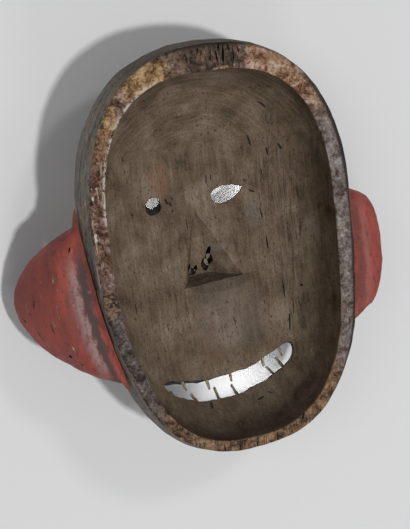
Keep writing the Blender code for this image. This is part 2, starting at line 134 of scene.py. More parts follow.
def cell_share(cell: Array, seed: int) -> Array:
    """Even random share for whole-number cells: their digits are mixed by large primes.

    Args:
        cell: whole numbers, the last axis holding one cell's coordinates.
        seed: picks another pattern.

    Returns:
        One share from 0 to 1 for each cell.
    """
    primes = np.array([374761393, 668265263, 1440662683])[:cell.shape[-1]]
    mixed = ((cell.astype(np.int64) * primes).sum(-1) + seed * 974634777) & 0xFFFFFFFF
    mixed = ((mixed ^ (mixed >> 13)) * 1274126177) & 0xFFFFFFFF
    return ((mixed ^ (mixed >> 16)) & 0xFFFF) / 0xFFFF


def noise(places: Array, size: float | Sequence[float], seed: int, octaves: int = 1) -> Array:
    """Smooth noise: each octave eases between random values at the corners of its cells.

    Args:
        places: points, the last axis holding their coordinates.
        size: cell size, one for all axes or one for each.
        seed: picks another pattern.
        octaves: how many layers, each half as large and half as strong.

    Returns:
        Values from about -1 to 1.
    """
    total = np.zeros(places.shape[:-1])
    for octave in range(octaves):
        scaled = places / np.asarray(size) * 2 ** octave
        cell = np.floor(scaled).astype(np.int64)
        part = ease(scaled - cell)
        layer = np.zeros_like(total)
        for corner in np.ndindex(*(2,) * places.shape[-1]):
            weight = np.prod(np.where(np.array(corner) == 1, part, 1 - part), axis=-1)
            layer += weight * cell_share(cell + np.array(corner), seed + octave)
        total += (layer * 2 - 1) / 2 ** octave
    return total


def gouges(across: Array, along: Array, width: float, length: float, seed: int) -> Array:
    """Marks of a gouge: rows of shallow troughs with sharp ridges between them.

    A row's trough is a parabola across it. Along the row the strokes start at random places,
    and each is deepest in its middle.

    Args:
        across: distance across the strokes.
        along: distance along the strokes.
        width: width of a stroke.
        length: length of a stroke.
        seed: picks another pattern.

    Returns:
        Height from -1, the deepest, to 0 at the ridges.
    """
    wander = 0.35 * noise(np.stack([across / width / 3, along / length], -1), 1.0, seed)
    row = across / width + wander
    number = np.floor(row)
    start = along / length + cell_share(number[..., None], seed + 1)
    stroke = np.floor(start)
    depth = 0.35 + 0.65 * cell_share(np.stack([number, stroke], -1), seed + 2)
    trough = 1 - (2 * (row - number) - 1) ** 2
    return -trough * depth * np.sin(math.pi * (start - stroke)) ** 0.5


def mesh_from(name: str, points: Array, faces: Array, fans: Sequence[Array] = ()) -> bpy.types.Mesh:
    """Mesh from arrays of points, four-sided faces and three-sided ones.

    Args:
        name: the mesh's name.
        points: one row of coordinates for each vertex.
        faces: one row of four vertex numbers for each face.
        fans: arrays with rows of three vertex numbers.

    Returns:
        The mesh, shaded smooth.
    """
    triangles = np.concatenate(list(fans)) if len(fans) else np.zeros((0, 3), int)
    corners = np.concatenate([faces.ravel(), triangles.ravel()])
    sizes = np.concatenate([np.full(len(faces), 4), np.full(len(triangles), 3)])
    mesh = bpy.data.meshes.new(name)
    mesh.vertices.add(len(points))
    mesh.vertices.foreach_set("co", np.asarray(points, np.float32).ravel())
    mesh.loops.add(len(corners))
    mesh.loops.foreach_set("vertex_index", corners.astype(np.int32))
    mesh.polygons.add(len(sizes))
    mesh.polygons.foreach_set("loop_start", (np.cumsum(sizes) - sizes).astype(np.int32))
    mesh.update(calc_edges=True)
    mesh.validate()
    mesh.shade_smooth()
    return mesh


def closed_surface(name: str, rings: Array) -> bpy.types.Mesh:
    """Closed mesh from rings of points: the first and the last ring each shrink to a pole.

    The rings go round so that the way round crossed with the way on points outward.

    Args:
        name: the mesh's name.
        rings: points by ring and by place round it.

    Returns:
        The mesh, with a quad between neighbours and triangles at the poles.
    """
    count, segments = rings.shape[0] - 2, rings.shape[1]
    points = np.concatenate([rings[0, :1], rings[1:-1].reshape(-1, 3), rings[-1, :1]])
    here = np.arange(segments)
    then = (here + 1) % segments
    start = 1 + segments * np.arange(count - 1)[:, None]
    quads = np.stack([start + here, start + then, start + segments + then, start + segments + here], -1)
    last = 1 + segments * (count - 1)
    first_fan = np.stack([np.zeros_like(here), 1 + then, 1 + here], -1)
    last_fan = np.stack([last + here, last + then, np.full_like(here, len(points) - 1)], -1)
    return mesh_from(name, points, quads.reshape(-1, 4), (first_fan, last_fan))


def outward(rings: Array) -> Array:
    """Unit normals of a closed surface's rings: the way round crossed with the way on.

    Args:
        rings: points by ring and by place round it.

    Returns:
        Normals of the same form, those at the poles taken from the next ring's mean.
    """
    around = np.roll(rings, -1, axis=1) - np.roll(rings, 1, axis=1)
    onward = np.gradient(rings, axis=0)
    normal = np.cross(around, onward)
    normal[0] = normal[1].mean(0)
    normal[-1] = normal[-2].mean(0)
    return normal / np.maximum(np.linalg.norm(normal, axis=-1, keepdims=True), 1e-12)


def join(name: str, meshes: Sequence[bpy.types.Mesh]) -> bpy.types.Mesh:
    """One mesh that holds several, each still a body of its own.

    Args:
        name: the new mesh's name.
        meshes: what to join; they are removed.

    Returns:
        The joined mesh.
    """
    shape = bmesh.new()
    for mesh in meshes:
        shape.from_mesh(mesh)
        bpy.data.meshes.remove(mesh)
    joined = bpy.data.meshes.new(name)
    shape.to_mesh(joined)
    shape.free()
    return joined


def set_zone(mesh: bpy.types.Mesh, zone: Zone) -> bpy.types.Mesh:
    """Gives every face of a mesh one material slot.

    Args:
        mesh: the mesh to change.
        zone: the slot.

    Returns:
        The same mesh.
    """
    mesh.polygons.foreach_set("material_index", np.full(len(mesh.polygons), zone.value, np.int32))
    return mesh


def read_points(mesh: bpy.types.Mesh) -> Array:
    """Coordinates of a mesh's vertices, one row for each."""
    points = np.zeros(len(mesh.vertices) * 3, np.float32)
    mesh.vertices.foreach_get("co", points)
    return points.reshape(-1, 3).astype(float)


def write_numbers(mesh: bpy.types.Mesh, numbers: dict[str, Array]) -> None:
    """Gives a mesh's vertices named numbers, which its material reads."""
    for name, values in numbers.items():
        mesh.attributes.new(name, "FLOAT", "POINT").data.foreach_set("value", values.astype(np.float32))


def carve(mesh: bpy.types.Mesh, cutters: Sequence[bpy.types.Mesh],
          materials: Sequence[bpy.types.Material], crease: float) -> bpy.types.Object:
    """Cuts closed meshes out of a closed mesh and centres its footprint.

    Args:
        mesh: the piece's own surface; its name becomes the piece's name.
        cutters: what to cut, one after another. Their faces' slots stay on the cut walls.
        materials: the piece's material slots.
        crease: edges sharper than this angle stay sharp.

    Returns:
        The finished piece, with its modifiers applied.
    """
    name = mesh.name
    piece = bpy.data.objects.new(name, mesh)
    bpy.context.scene.collection.objects.link(piece)
    tools = []
    for body in (mesh, *cutters):
        for material in materials:
            body.materials.append(material)
    for cutter in cutters:
        tool = bpy.data.objects.new(cutter.name, cutter)
        bpy.context.scene.collection.objects.link(tool)
        tools.append(tool)
        step = piece.modifiers.new(cutter.name, "BOOLEAN")
        step.operation = "DIFFERENCE"
        step.solver = "MANIFOLD"
        step.material_mode = "INDEX"
        step.object = tool
    graph = bpy.context.evaluated_depsgraph_get()
    done = bpy.data.meshes.new_from_object(piece.evaluated_get(graph))
    piece.modifiers.clear()
    piece.data = done
    bpy.data.meshes.remove(mesh)
    for tool in tools:
        bpy.data.meshes.remove(tool.data)
    done.name = name
    done.transform(Matrix.Translation((-MIDDLE, 0, 0)))
    done.shade_smooth()
    done.set_sharp_from_angle(angle=crease)
    return piece


def column(name: str, outline: Callable[[Array], tuple[Array, Array]], depths: Sequence[float],
           spread: Callable[[Array, Array, Array], tuple[Array, Array]], segments: int = 120,
           levels: int = 16) -> bpy.types.Mesh:
    """Closed column through the wood: an outline carried down through several levels.

    The outline's point at each turn is moved by spread at each depth. Both ends are closed by
    a ring that shrinks to the outline's middle.

    Args:
        name: the mesh's name.
        outline: gives x and y in the face's axes for turns from 0 to a full turn.
        depths: its first and last depth under the rim.
        spread: moves x and y by depth.
        segments: places round the outline.
        levels: how many depths.

    Returns:
        The closed mesh, in the mask's axes.
    """
    turn = np.linspace(0, -2 * math.pi, segments, endpoint=False)
    depth = np.linspace(depths[0], depths[1], levels)[:, None]
    x, y = outline(turn)
    x, y = spread(np.broadcast_to(x, (levels, segments)), np.broadcast_to(y, (levels, segments)), depth)
    x, y = from_face(x, y)
    rings = np.stack([x, y, np.broadcast_to(RIM_HEIGHT - depth, x.shape)], -1)
    middles = np.broadcast_to(rings.mean(1, keepdims=True), rings.shape)
    return closed_surface(name, np.concatenate([middles[:1], rings, middles[-1:]]))


def to_face(x: Array, y: Array) -> tuple[Array, Array]:
    """Turns places in the mask's axes into the face's leaning axes."""
    turn, rise = math.cos(FACE_LEAN), math.sin(FACE_LEAN)
    return x * turn + y * rise, y * turn - x * rise


def from_face(x: Array, y: Array) -> tuple[Array, Array]:
    """Turns places in the face's leaning axes into the mask's axes."""
    turn, rise = math.cos(FACE_LEAN), math.sin(FACE_LEAN)
    return x * turn - y * rise, y * turn + x * rise


@dataclass(frozen=True)
class Flaw:
    """A chip, nick, crack or worm hole: an uneven ellipsoid that is cut into a surface.

    Attributes:
        x: its place across.
        y: its place along.
        across: half its width.
        along: half its length.
        deep: how far it goes in.
        turn: its length's turn away from Y, in degrees.
        zone: the finish of its wall.
        segments: places round it.
        rings: rings from its bottom to its top.
        unevenness: how far its radius varies, as a share.
    """

    x: float
    y: float
    across: float
    along: float
    deep: float
    turn: float = 0.0
    zone: Zone = Zone.HOLE
    segments: int = 12
    rings: int = 9
    unevenness: float = 0.28

    def cutter(self, place: Array, normal: Array, seed: int) -> bpy.types.Mesh:
        """The ellipsoid with its middle on the surface, its radius made uneven by noise.

        Args:
            place: its middle, on the surface.
            normal: the surface's unit normal there.
            seed: picks its form.

        Returns:
            The closed mesh.
        """
        turn = np.linspace(0, 2 * math.pi, self.segments, endpoint=False)
        fall = np.linspace(0, math.pi, self.rings)[:, None]
        ball = np.stack([np.sin(fall) * np.cos(turn), np.sin(fall) * np.sin(turn),
                         np.cos(fall) * np.ones_like(turn)], -1)
        ball *= (1 + self.unevenness * noise(ball, 0.9, seed, 2))[..., None]
        away = math.radians(self.turn)
        heading = np.array([math.sin(away), math.cos(away), 0.0])
        side = np.cross(heading, normal)
        side /= np.linalg.norm(side)
        heading = np.cross(normal, side)
        rings = (place + ball[..., :1] * self.across * side + ball[..., 1:2] * self.along * heading
                 + ball[..., 2:] * self.deep * normal)
        rings[0], rings[-1] = rings[0].mean(0), rings[-1].mean(0)
        return set_zone(closed_surface("Flaw", rings[::-1]), self.zone)


@dataclass(frozen=True)
class Egg:
    """Egg outline about the point (0, line): two superellipses that meet at its widest line.

    Attributes:
        half_width: half its width.
        above: reach toward the forehead.
        below: reach toward the chin.
        exponent_above: squareness of the part toward the forehead, 2 being an ellipse.
        exponent_below: squareness of the part toward the chin.
        line: place of its widest line along Y.
    """

    half_width: float
    above: float
    below: float
    exponent_above: float
    exponent_below: float
    line: float

    def radius(self, angle: Array) -> Array:
        """Distance from the middle to the outline.

        The sum of |sin| over the half width and |cos| over the reach, each to the exponent, to
        the power of minus one over the exponent.

        Args:
            angle: direction, 0 toward the forehead.

        Returns:
            The distances.
        """
        up = np.cos(angle)
        length = np.where(up > 0, self.above, self.below)
        power = np.where(up > 0, self.exponent_above, self.exponent_below)
        return ((np.abs(np.sin(angle)) / self.half_width) ** power
                + (np.abs(up) / length) ** power) ** (-1 / power)

    def half_width_at(self, y: Array) -> Array:
        """Half the outline's width at places along Y: the superellipse solved for x."""
        rise = y - self.line
        length = np.where(rise > 0, self.above, self.below)
        power = np.where(rise > 0, self.exponent_above, self.exponent_below)
        share = np.clip(np.abs(rise) / length, 0, 1)
        return self.half_width * (1 - share ** power) ** (1 / power)

    def share(self, x: Array, y: Array) -> Array:
        """How far out a place lies: its distance from the middle over the outline's radius."""
        rise = y - self.line
        return np.hypot(x, rise) / self.radius(np.arctan2(x, rise))


@dataclass(frozen=True)
class Wall:
    """The shell's outside: a rounded edge, an almost upright wall that swells, and a dome.

    Attributes:
        rim: outline of the rim's outer edge.
        rounding: radius of that edge.
        depth: depth of the upright wall's foot.
        swell: how far its foot stands out.
        dome_depth: depth of the dome's middle.
        fullness: exponent of the dome's superellipse.
    """

    rim: Egg = Egg(0.1008, 0.1191, 0.1803, 2.33, 2.59, 0.0306)
    rounding: float = 0.003
    depth: float = 0.022
    swell: float = 0.0025
    dome_depth: float = 0.077
    fullness: float = 2.3

    def section(self, outer: Array, bend: Array, wall: Array, fall: Array) -> tuple[Array, Array]:
        """Radius and depth along the outside's section.

        The edge is a quarter circle, the swell is a parabola that levels at the wall's foot,
        and the dome is a superellipse given by its polar angle.

        Args:
            outer: the rim's own radius.
            bend: angle round the edge, to a quarter turn.
            wall: share of the wall.
            fall: polar angle along the dome, to a quarter turn.

        Returns:
            Radius and depth.
        """
        cosine, sine = np.clip(np.cos(fall), 0, 1), np.sin(fall)
        reach = (cosine ** self.fullness + sine ** self.fullness) ** (1 / self.fullness)
        upright = outer - self.rounding * (1 - np.sin(bend)) + self.swell * (1 - (1 - wall) ** 2)
        depth = (self.rounding * (1 - np.cos(bend)) + (self.depth - self.rounding) * wall
                 + (self.dome_depth - self.depth) * sine / reach)
        return upright * cosine / reach, depth


@dataclass(frozen=True)
class Mouth:
    """The grin: a curved slot cut square to the wall, so it spreads and drops as it goes out.

    Attributes:
        half_length: half its length.
        half_height: half its height at the middle.
        place: its middle along Y.
        rise: how far its middle line rises to both ends.
        slope: slope of the middle line.
        left_end: bluntness of its left end.
        right_end: bluntness of its right end.
        edge_depth: depth at which it has these sizes.
        clearance: how far the cut starts above that.
        widening: how fast it spreads with its depth.
        lean: how fast it drops with its depth.
        raggedness: how uneven its edge is.
    """

    half_length: float = 0.056
    half_height: float = 0.0086
    place: float = -0.1117
    rise: float = 0.0149
    slope: float = 0.03
    left_end: float = 5.0
    right_end: float = 14.0
    edge_depth: float = 0.046
    clearance: float = 0.026
    widening: float = 0.31
    lean: float = 0.33
    raggedness: float = 0.0007

    def middle(self, x: Array) -> Array:
        """Middle line: a parabola on a slope."""
        return self.place + self.slope * x + self.rise * (x / self.half_length) ** 2

    def half_height_at(self, x: Array) -> Array:
        """Half the opening: the root of 1 less the share of the length to the end's power."""
        share = np.clip(np.abs(x) / self.half_length, 0, 1)
        return self.half_height * np.sqrt(1 - share ** np.where(x > 0, self.right_end, self.left_end))

    def spread(self, x: Array, y: Array, depth: Array) -> tuple[Array, Array]:
        """Carries points of the edge through the leaning wall, in line with their depth."""
        below = depth - self.edge_depth
        return x * (1 + self.widening * below / self.half_length), y - self.lean * below

    def outline(self, turn: Array) -> tuple[Array, Array]:
        """The slot's edge: the middle line plus or minus its half height, worn uneven.

        Args:
            turn: angle round it.

        Returns:
            x and y in the face's axes.
        """
        x = self.half_length * np.cos(turn)
        side = np.where(np.sin(turn) < 0, -1.0, 1.0)
        wear = self.raggedness * noise(np.stack([x, side * 0.03], -1), 0.006, 71, 2)
        return x, self.middle(x) + side * (self.half_height_at(x) + wear * (1 - (x / self.half_length) ** 8))

    def cutter(self) -> bpy.types.Mesh:
        """The slot as a closed column, from above the hollow's floor to under the face."""
        depths = (self.edge_depth - self.clearance, CUT_DEPTH)
        return set_zone(column("Mouth_Slot", self.outline, depths, self.spread, 240, 14), Zone.HOLE)


@dataclass(frozen=True)
class Eyes:
    """The two eye holes: an almond at the right and a small round slanting hole at the left.

    Attributes:
        out: distance of both from the middle.
        up: their place along Y.
        right_length: length of the almond.
        right_height: its height.
        right_point: slimness of its point.
        right_fullness: makes up for the height that the point takes.
        right_lids: share of the height that its upper and its lower half keep.
        right_tilt: its slope.
        right_slant: how fast it slides with its depth, along X and Y.
        left_size: width of the round hole.
        left_shift: how far it lies from its place, along X and Y.
        left_slant: how fast it slides with its depth.
        left_start: how far above the hollow's floor it starts to slide.
        floor_depth: depth of the hollow's floor round them.
        clearance: how far the cuts start above that.
        flare: how fast the almond widens with its depth.
        sink: depth of the dish round each.
        sink_margin: how far the dish reaches beyond the hole.
        wear: unevenness of the almond's and of the round hole's edge.
    """

    out: float = 0.03
    up: float = 0.0335
    right_length: float = 0.025
    right_height: float = 0.0135
    right_point: float = 0.6
    right_fullness: float = 1.12
    right_lids: tuple[float, float] = (0.8, 1.08)
    right_tilt: float = 0.1
    right_slant: tuple[float, float] = (0.1, -0.13)
    left_size: float = 0.0136
    left_shift: tuple[float, float] = (-0.0018, -0.0032)
    left_slant: tuple[float, float] = (0.33, 1.1)
    left_start: float = 0.002
    floor_depth: float = 0.062
    clearance: float = 0.012
    flare: float = 0.35
    sink: float = 0.0035
    sink_margin: float = 0.015
    wear: tuple[float, float] = (0.03, 0.07)

    def sinks(self, x: Array, y: Array) -> Array:
        """Depth of the shallow dishes round both holes, each one a round swelling downward."""
        right = (self.right_length / 2 + self.sink_margin, self.right_height / 2 + self.sink_margin)
        left = (self.left_size / 2 + self.sink_margin,) * 2
        return (bump(x, y, (self.out, self.up), right, self.sink)
                + bump(x, y, (-self.out, self.up), left, self.sink))

    def right_outline(self, turn: Array) -> tuple[Array, Array]:
        """Almond: an ellipse pinched to a point where the turn is 0, worn a little uneven."""
        x = np.cos(turn) * self.right_length / 2
        lid = np.abs(np.sin(turn / 2)) ** self.right_point
        flat = np.where(np.sin(turn) > 0, *self.right_lids)
        y = np.sin(turn) * lid * flat * self.right_height / 2 * self.right_fullness
        ragged = 1 + self.wear[0] * noise(np.stack([np.cos(turn), np.sin(turn)], -1), 0.35, 12, 2)
        return self.out + x * ragged, self.up + y * ragged + self.right_tilt * x

    def left_outline(self, turn: Array) -> tuple[Array, Array]:
        """Round hole, worn a little uneven."""
        wear = self.wear[1] * noise(np.stack([np.cos(turn), np.sin(turn)], -1), 0.6, 31, 2)
        ragged = self.left_size / 2 * (1 + wear)
        return (self.left_shift[0] - self.out + np.cos(turn) * ragged,
                self.left_shift[1] + self.up + np.sin(turn) * ragged)

    def cutters(self) -> list[bpy.types.Mesh]:
        """Both holes as closed, slanting columns. The right one also widens outward."""

        def widen(x: Array, y: Array, depth: Array) -> tuple[Array, Array]:
            """Scales and slides the outline by its depth under the hollow's floor."""
            below = np.clip(depth - self.floor_depth, 0, None)
            share = self.flare * below / self.left_size
            return (x + (x - self.out) * share + self.right_slant[0] * below,
                    y + (y - self.up) * share + self.right_slant[1] * below)

        def slant(x: Array, y: Array, depth: Array) -> tuple[Array, Array]:
            """Slides the outline sideways by its depth under the hollow's floor."""
            below = np.clip(depth - self.floor_depth + self.left_start, 0, None)
            return x + self.left_slant[0] * below, y + self.left_slant[1] * below

        depths = (self.floor_depth - self.clearance, CUT_DEPTH)
        right = column("Right_Eye_Hole", self.right_outline, depths, widen, 72, 10)
        left = column("Left_Eye_Hole", self.left_outline, depths, slant, 48, 10)
        return [set_zone(join("Eye_Holes", [right, left]), Zone.HOLE)]


@dataclass(frozen=True)
class NosePit:
    """The three-sided pit behind the nose, undercut at its base, with worn breaks at its end.

    Attributes:
        top: place of its upper corner along Y.
        base: place of its base along Y.
        left: left corner of its base along X.
        right: right corner of its base.
        wall: how far its bottom lies above the ground.
        deep_left: left end of its bottom.
        deep_right: right end of its bottom.
        undercut: how far its bottom lies above its base along Y.
        rise: height of its hull's upright sides.
        lip: depth of the hollow's floor round it.
        roughness: how rough its sides are.
        cuts: how many times its sides are cut finer.
        breaks: each break's x, y, half width, half length and turn.
        break_lift: how far the breaks' middle lies above the bottom.
        break_depth: half their depth.
    """

    top: float = 0.0273
    base: float = -0.0327
    left: float = -0.0183
    right: float = 0.0303
    wall: float = 0.01
    deep_left: float = -0.007
    deep_right: float = 0.0108
    undercut: float = 0.005
    rise: float = 0.012
    lip: float = 0.0617
    roughness: float = 0.0005
    cuts: int = 4
    break_lift: float = 0.006
    break_depth: float = 0.0085
    breaks: tuple[tuple[float, float, float, float, float], ...] = (
        (-0.005, -0.0245, 0.0046, 0.0048, 20.0), (-0.0082, -0.0195, 0.0026, 0.005, -25.0),
        (-0.0015, -0.022, 0.002, 0.0022, 0.0), (0.0068, -0.022, 0.0054, 0.0034, 80.0),
        (0.0088, -0.018, 0.0034, 0.005, 0.0), (0.0095, -0.011, 0.0013, 0.007, 4.0))

    def cutters(self) -> list[bpy.types.Mesh]:
        """The pit as a hull that is cut fine and roughened by noise, and its breaks.

        Returns:
            The cutters, in the mask's axes.
        """
        shape = bmesh.new()
        for x, y in ((0.0, self.top), (self.left, self.base), (self.right, self.base)):
            for depth in (self.lip - self.rise, self.lip):
                shape.verts.new((x, y, RIM_HEIGHT - depth))
        for x in (self.deep_left, self.deep_right):
            shape.verts.new((x, self.base + self.undercut, self.wall))
        bmesh.ops.convex_hull(shape, input=shape.verts)
        bmesh.ops.triangulate(shape, faces=shape.faces)
        for _ in range(self.cuts):
            bmesh.ops.subdivide_edges(shape, edges=shape.edges, cuts=1, use_grid_fill=True)
        bmesh.ops.triangulate(shape, faces=shape.faces)
        mesh = bpy.data.meshes.new("Nose_Pit")
        shape.to_mesh(mesh)
        shape.free()
        points = read_points(mesh)
        shift = np.stack([noise(points, 0.006, seed, 2) for seed in (51, 52, 53)], -1)
        points += self.roughness * shift
        x, y = from_face(points[:, 0], points[:, 1])
        mesh.vertices.foreach_set("co", np.stack([x, y, points[:, 2]], -1).astype(np.float32).ravel())
        mesh.update()
        holes = []
        for seed, (x, y, across, along, turn) in enumerate(self.breaks):
            middle = np.array([*from_face(x, y), self.wall + self.break_lift])
            holes.append(Flaw(x, y, across, along, self.break_depth, turn).cutter(middle, UP, seed))
        return [set_zone(mesh, Zone.SURFACE), join("Nose_Breaks", holes)]


def flaws_from(rows: Sequence[Sequence[Any]], place_scale: float = 1000) -> tuple[Flaw, ...]:
    """Flaws from rows that give Flaw's own fields in order, with lengths in millimetres.

    Args:
        rows: two places, two half sizes and a depth, then a turn and a zone if they are needed.
        place_scale: what divides the places, 1 where they are shares.

    Returns:
        The flaws.
    """
    return tuple(Flaw(x / place_scale, y / place_scale, across / 1000, along / 1000, deep / 1000, *rest)
                 for x, y, across, along, deep, *rest in rows)


CHIP = Zone.CHIP
RIM_FLAWS = flaws_from((
    (-21.7, 127.0, 1.2, 2.6, 1.2, 80, CHIP), (6.1, 130.0, 1.8, 2.2, 1.6, 90, CHIP),
    (12.8, 131.0, 1.6, 3.0, 1.4, 85, CHIP), (21.5, 131.8, 1.1, 1.7, 1.2, 75, CHIP),
    (3.0, 140.5, 0.4, 4.0, 2.0, 9), (7.8, 138.5, 0.6, 6.0, 3.0, -6), (9.8, 146.2, 0.8, 3.0, 2.4, 14),
    (12.8, 140.0, 0.9, 7.2, 3.6, 4), (17.2, 144.5, 0.5, 3.4, 2.4, -12), (20.5, 137.8, 0.4, 4.6, 1.8, 5),
    (24.6, 142.4, 0.5, 3.0, 1.8, -8), (-6.0, 145.0, 0.5, 2.6, 1.6, 18), (-15.0, 139.5, 0.4, 3.0, 1.2, -10),
    (47.5, -139.5, 1.6, 3.0, 3.2, 30, CHIP), (44.0, -133.0, 0.7, 4.6, 1.8, 28),
    (-98.5, 70.0, 1.2, 5.0, 1.6, 6, CHIP), (-98.8, 56.0, 1.0, 3.8, 1.4, 2, CHIP),
    (-98.2, 36.0, 1.0, 6.2, 1.2, -3, CHIP), (-97.5, 19.0, 0.9, 4.6, 1.2, -6, CHIP),
    (-87.0, 72.0, 0.9, 6.2, 1.0, 10, CHIP), (-83.5, 89.0, 0.8, 5.0, 1.0, 22, CHIP),
    (-76.5, 103.0, 0.8, 4.4, 1.0, 32, CHIP), (-88.5, 52.0, 0.8, 4.2, 0.9, 4, CHIP),
    (85.2, 93.0, 1.0, 2.4, 1.0, -30, CHIP), (80.0, 101.0, 1.0, 2.6, 1.0, -38, CHIP),
    (89.5, -1.0, 0.7, 2.6, 1.0, 0, CHIP), (90.5, -64.0, 1.0, 3.0, 1.0, 8, CHIP),
    (-40.0, -139.2, 0.8, 3.0, 1.0, 60, CHIP), (-10.0, -147.0, 0.5, 3.4, 2.0, 4),
    (4.0, -146.8, 0.5, 3.0, 1.8, -6), (11.0, -146.2, 0.9, 3.4, 1.2, 8, CHIP),
    (20.5, -145.5, 0.5, 3.2, 1.8, 5), (-21.5, -145.5, 0.5, 3.2, 1.6, -8)))
HOLLOW_FLAWS = flaws_from((
    (56.5, 98.5, 1.0, 4.2, 1.0, -52), (48.0, 72.0, 0.8, 4.4, 1.0, -12), (60.5, 62.5, 0.8, 3.6, 1.0, -10),
    (69.0, 65.0, 1.0, 3.2, 1.0, -38), (-13.7, -122.5, 1.1, 2.8, 1.1, 8), (26.5, -124.5, 1.2, 3.0, 1.2, 75),
    (34.5, -121.5, 1.0, 2.6, 1.0, -55), (12.0, 47.0, 0.6, 3.6, 0.8, 4), (16.0, 48.0, 0.5, 2.8, 0.8, -4),
    (73.2, -44.2, 1.0, 1.2, 4.0, 0), (47.0, 33.0, 1.0, 3.0, 1.4, -62), (-21.5, 35.0, 0.7, 2.6, 0.9, -24),
    (-19.0, 33.0, 0.6, 2.2, 0.9, -18), (-17.5, 37.0, 0.5, 2.0, 0.8, -30), (-17.8, 27.5, 0.6, 1.4, 0.8, 30),
    (-52.0, 30.0, 0.8, 1.0, 0.9, 0), (-54.0, 72.0, 0.9, 4.0, 0.8, 0), (-50.0, 66.0, 0.7, 2.6, 0.8, 12),
    (-52.0, 56.0, 0.6, 4.2, 0.7, -2), (52.0, 15.0, 0.6, 5.8, 0.9, -6), (54.0, -8.0, 0.6, 7.0, 0.9, -3),
    (61.5, -45.0, 0.6, 9.0, 1.1, -2), (61.8, -72.0, 0.7, 8.0, 1.2, 3), (66.0, -60.0, 0.5, 6.0, 0.9, 4),
    (28.0, -30.0, 0.9, 1.0, 3.0, 0), (56.0, 44.0, 0.5, 6.0, 0.8, -8), (4.0, 96.0, 0.4, 3.0, 0.6, 80),
    (-26.0, 90.0, 0.4, 3.4, 0.6, 70), (32.0, 88.0, 0.5, 2.8, 0.6, -70), (-1.0, 20.0, 0.4, 4.4, 0.6, 2),
    (-8.0, 15.0, 0.4, 5.0, 0.6, -4), (-42.0, -20.0, 0.4, 4.6, 0.6, 3), (-35.0, -60.0, 0.5, 3.2, 0.6, -5),
    (20.0, -65.0, 0.4, 4.0, 0.6, -8), (44.5, -101.0, 0.6, 5.0, 0.8, -40), (48.0, -106.0, 0.5, 3.8, 0.8, -35),
    (-60.0, -40.0, 0.5, 5.0, 0.7, 6), (-30.0, 104.0, 0.4, 3.0, 0.6, 65)))


@dataclass(frozen=True)
class Face:
    """The plain face on the outside: brows, cheeks, sunk eye sockets, nose and lips.

    Attributes:
        forehead: middle, half sizes and height of the swelling between the brows.
        brow: the same of each brow.
        cheek: the same of each cheek.
        socket: half sizes and depth of each eye socket.
        nose_start: how far above its pit the nose starts.
        nose_height: height of the nose's base.
        nose_width: half the nose's width at its top, and what it gains toward its base.
        nose_end: length of the step that ends the nose, and its lead as a share.
        lip_height: height of the lips.
        lip_spread: the lips' half length and half height, over those of the mouth.
    """

    forehead: tuple[Any, ...] = ((0.0, 0.074), (0.026, 0.024), 0.008)
    brow: tuple[Any, ...] = ((0.042, 0.074), (0.042, 0.026), 0.02)
    cheek: tuple[Any, ...] = ((0.06, -0.046), (0.034, 0.038), 0.023)
    socket: tuple[Any, ...] = ((0.028, 0.022), 0.007)
    nose_start: float = 0.018
    nose_height: float = 0.021
    nose_width: tuple[float, float] = (0.013, 0.019)
    nose_end: tuple[float, float] = (0.014, 0.93)
    lip_height: float = 0.007
    lip_spread: tuple[float, float] = (1.35, 2.6)

    def height(self, x: Array, y: Array, eyes: Eyes, nose: NosePit, mouth: Mouth) -> Array:
        """How far the face stands out of the dome.

        Brows, cheeks and sockets are round swellings. The nose is a wedge that spreads and
        rises to a blunt base, and the lips are a parabola across the mouth.

        Args:
            x: places across, in the face's axes.
            y: places along.
            eyes: the eye holes, where the sockets lie.
            nose: the pit, over which the nose stands.
            mouth: the slot, round which the lips run.

        Returns:
            Height at each place.
        """
        relief = bump(x, y, *self.forehead)
        for side in Side:
            out = side.value * x
            relief += bump(out, y, *self.brow)
            relief += bump(out, y, *self.cheek)
            relief -= bump(out, y, (eyes.out, eyes.up), *self.socket)
        top = nose.top + self.nose_start
        fall = np.clip((top - y) / (top - nose.base), 0, 1)
        middle = fall * (nose.left + nose.right) / 2
        width = self.nose_width[0] + self.nose_width[1] * fall
        across = np.clip(1 - ((x - middle) / width) ** 2, 0, 1) ** 1.5
        end = ease((y - nose.base) / self.nose_end[0] + self.nose_end[1])
        relief += self.nose_height * fall * across * end
        reach = ease(1.3 - 1.3 * (x / (self.lip_spread[0] * mouth.half_length)) ** 2)
        share = (y - mouth.middle(x)) / (self.lip_spread[1] * mouth.half_height)
        return relief + self.lip_height * reach * np.clip(1 - share ** 2, 0, 1) ** 1.5


@dataclass(frozen=True)
class Recess:
    """Dent in the hollow's right wall: it starts at a slanting ledge and fades toward the rim.

    Attributes:
        depth: how far it goes in.
        ledge: the ledge's place across.
        ledge_line: where along Y it has that place.
        slant: the ledge's slope.
        ledge_width: width of the ledge.
        start: the dent's lower end.
        length: its length.
        width: its greatest width.
    """

    depth: float = 0.0022
    ledge: float = 0.086
    ledge_line: float = 0.014
    slant: float = 0.08
    ledge_width: float = 0.0014
    start: float = -0.012
    length: float = 0.05
    width: float = 0.017

    def height(self, unrolled: Array, y: Array) -> Array:
        """Steps down over the ledge, and up over the width and both ends.

        Args:
            unrolled: distance across, unrolled over the wall.
            y: places along.

        Returns:
            Height at each place, 0 or less.
        """
        share = np.clip((y - self.start) / self.length, 0, 1)
        width = self.width * np.sin(math.pi * share ** 1.6) + 0.0005
        beyond = unrolled - (self.ledge - self.slant * (y - self.ledge_line))
        dent = -self.depth * ease(beyond / self.ledge_width) * ease((width - beyond) / width)
        return dent * ease(share * 6) * ease((1 - share) * 6)


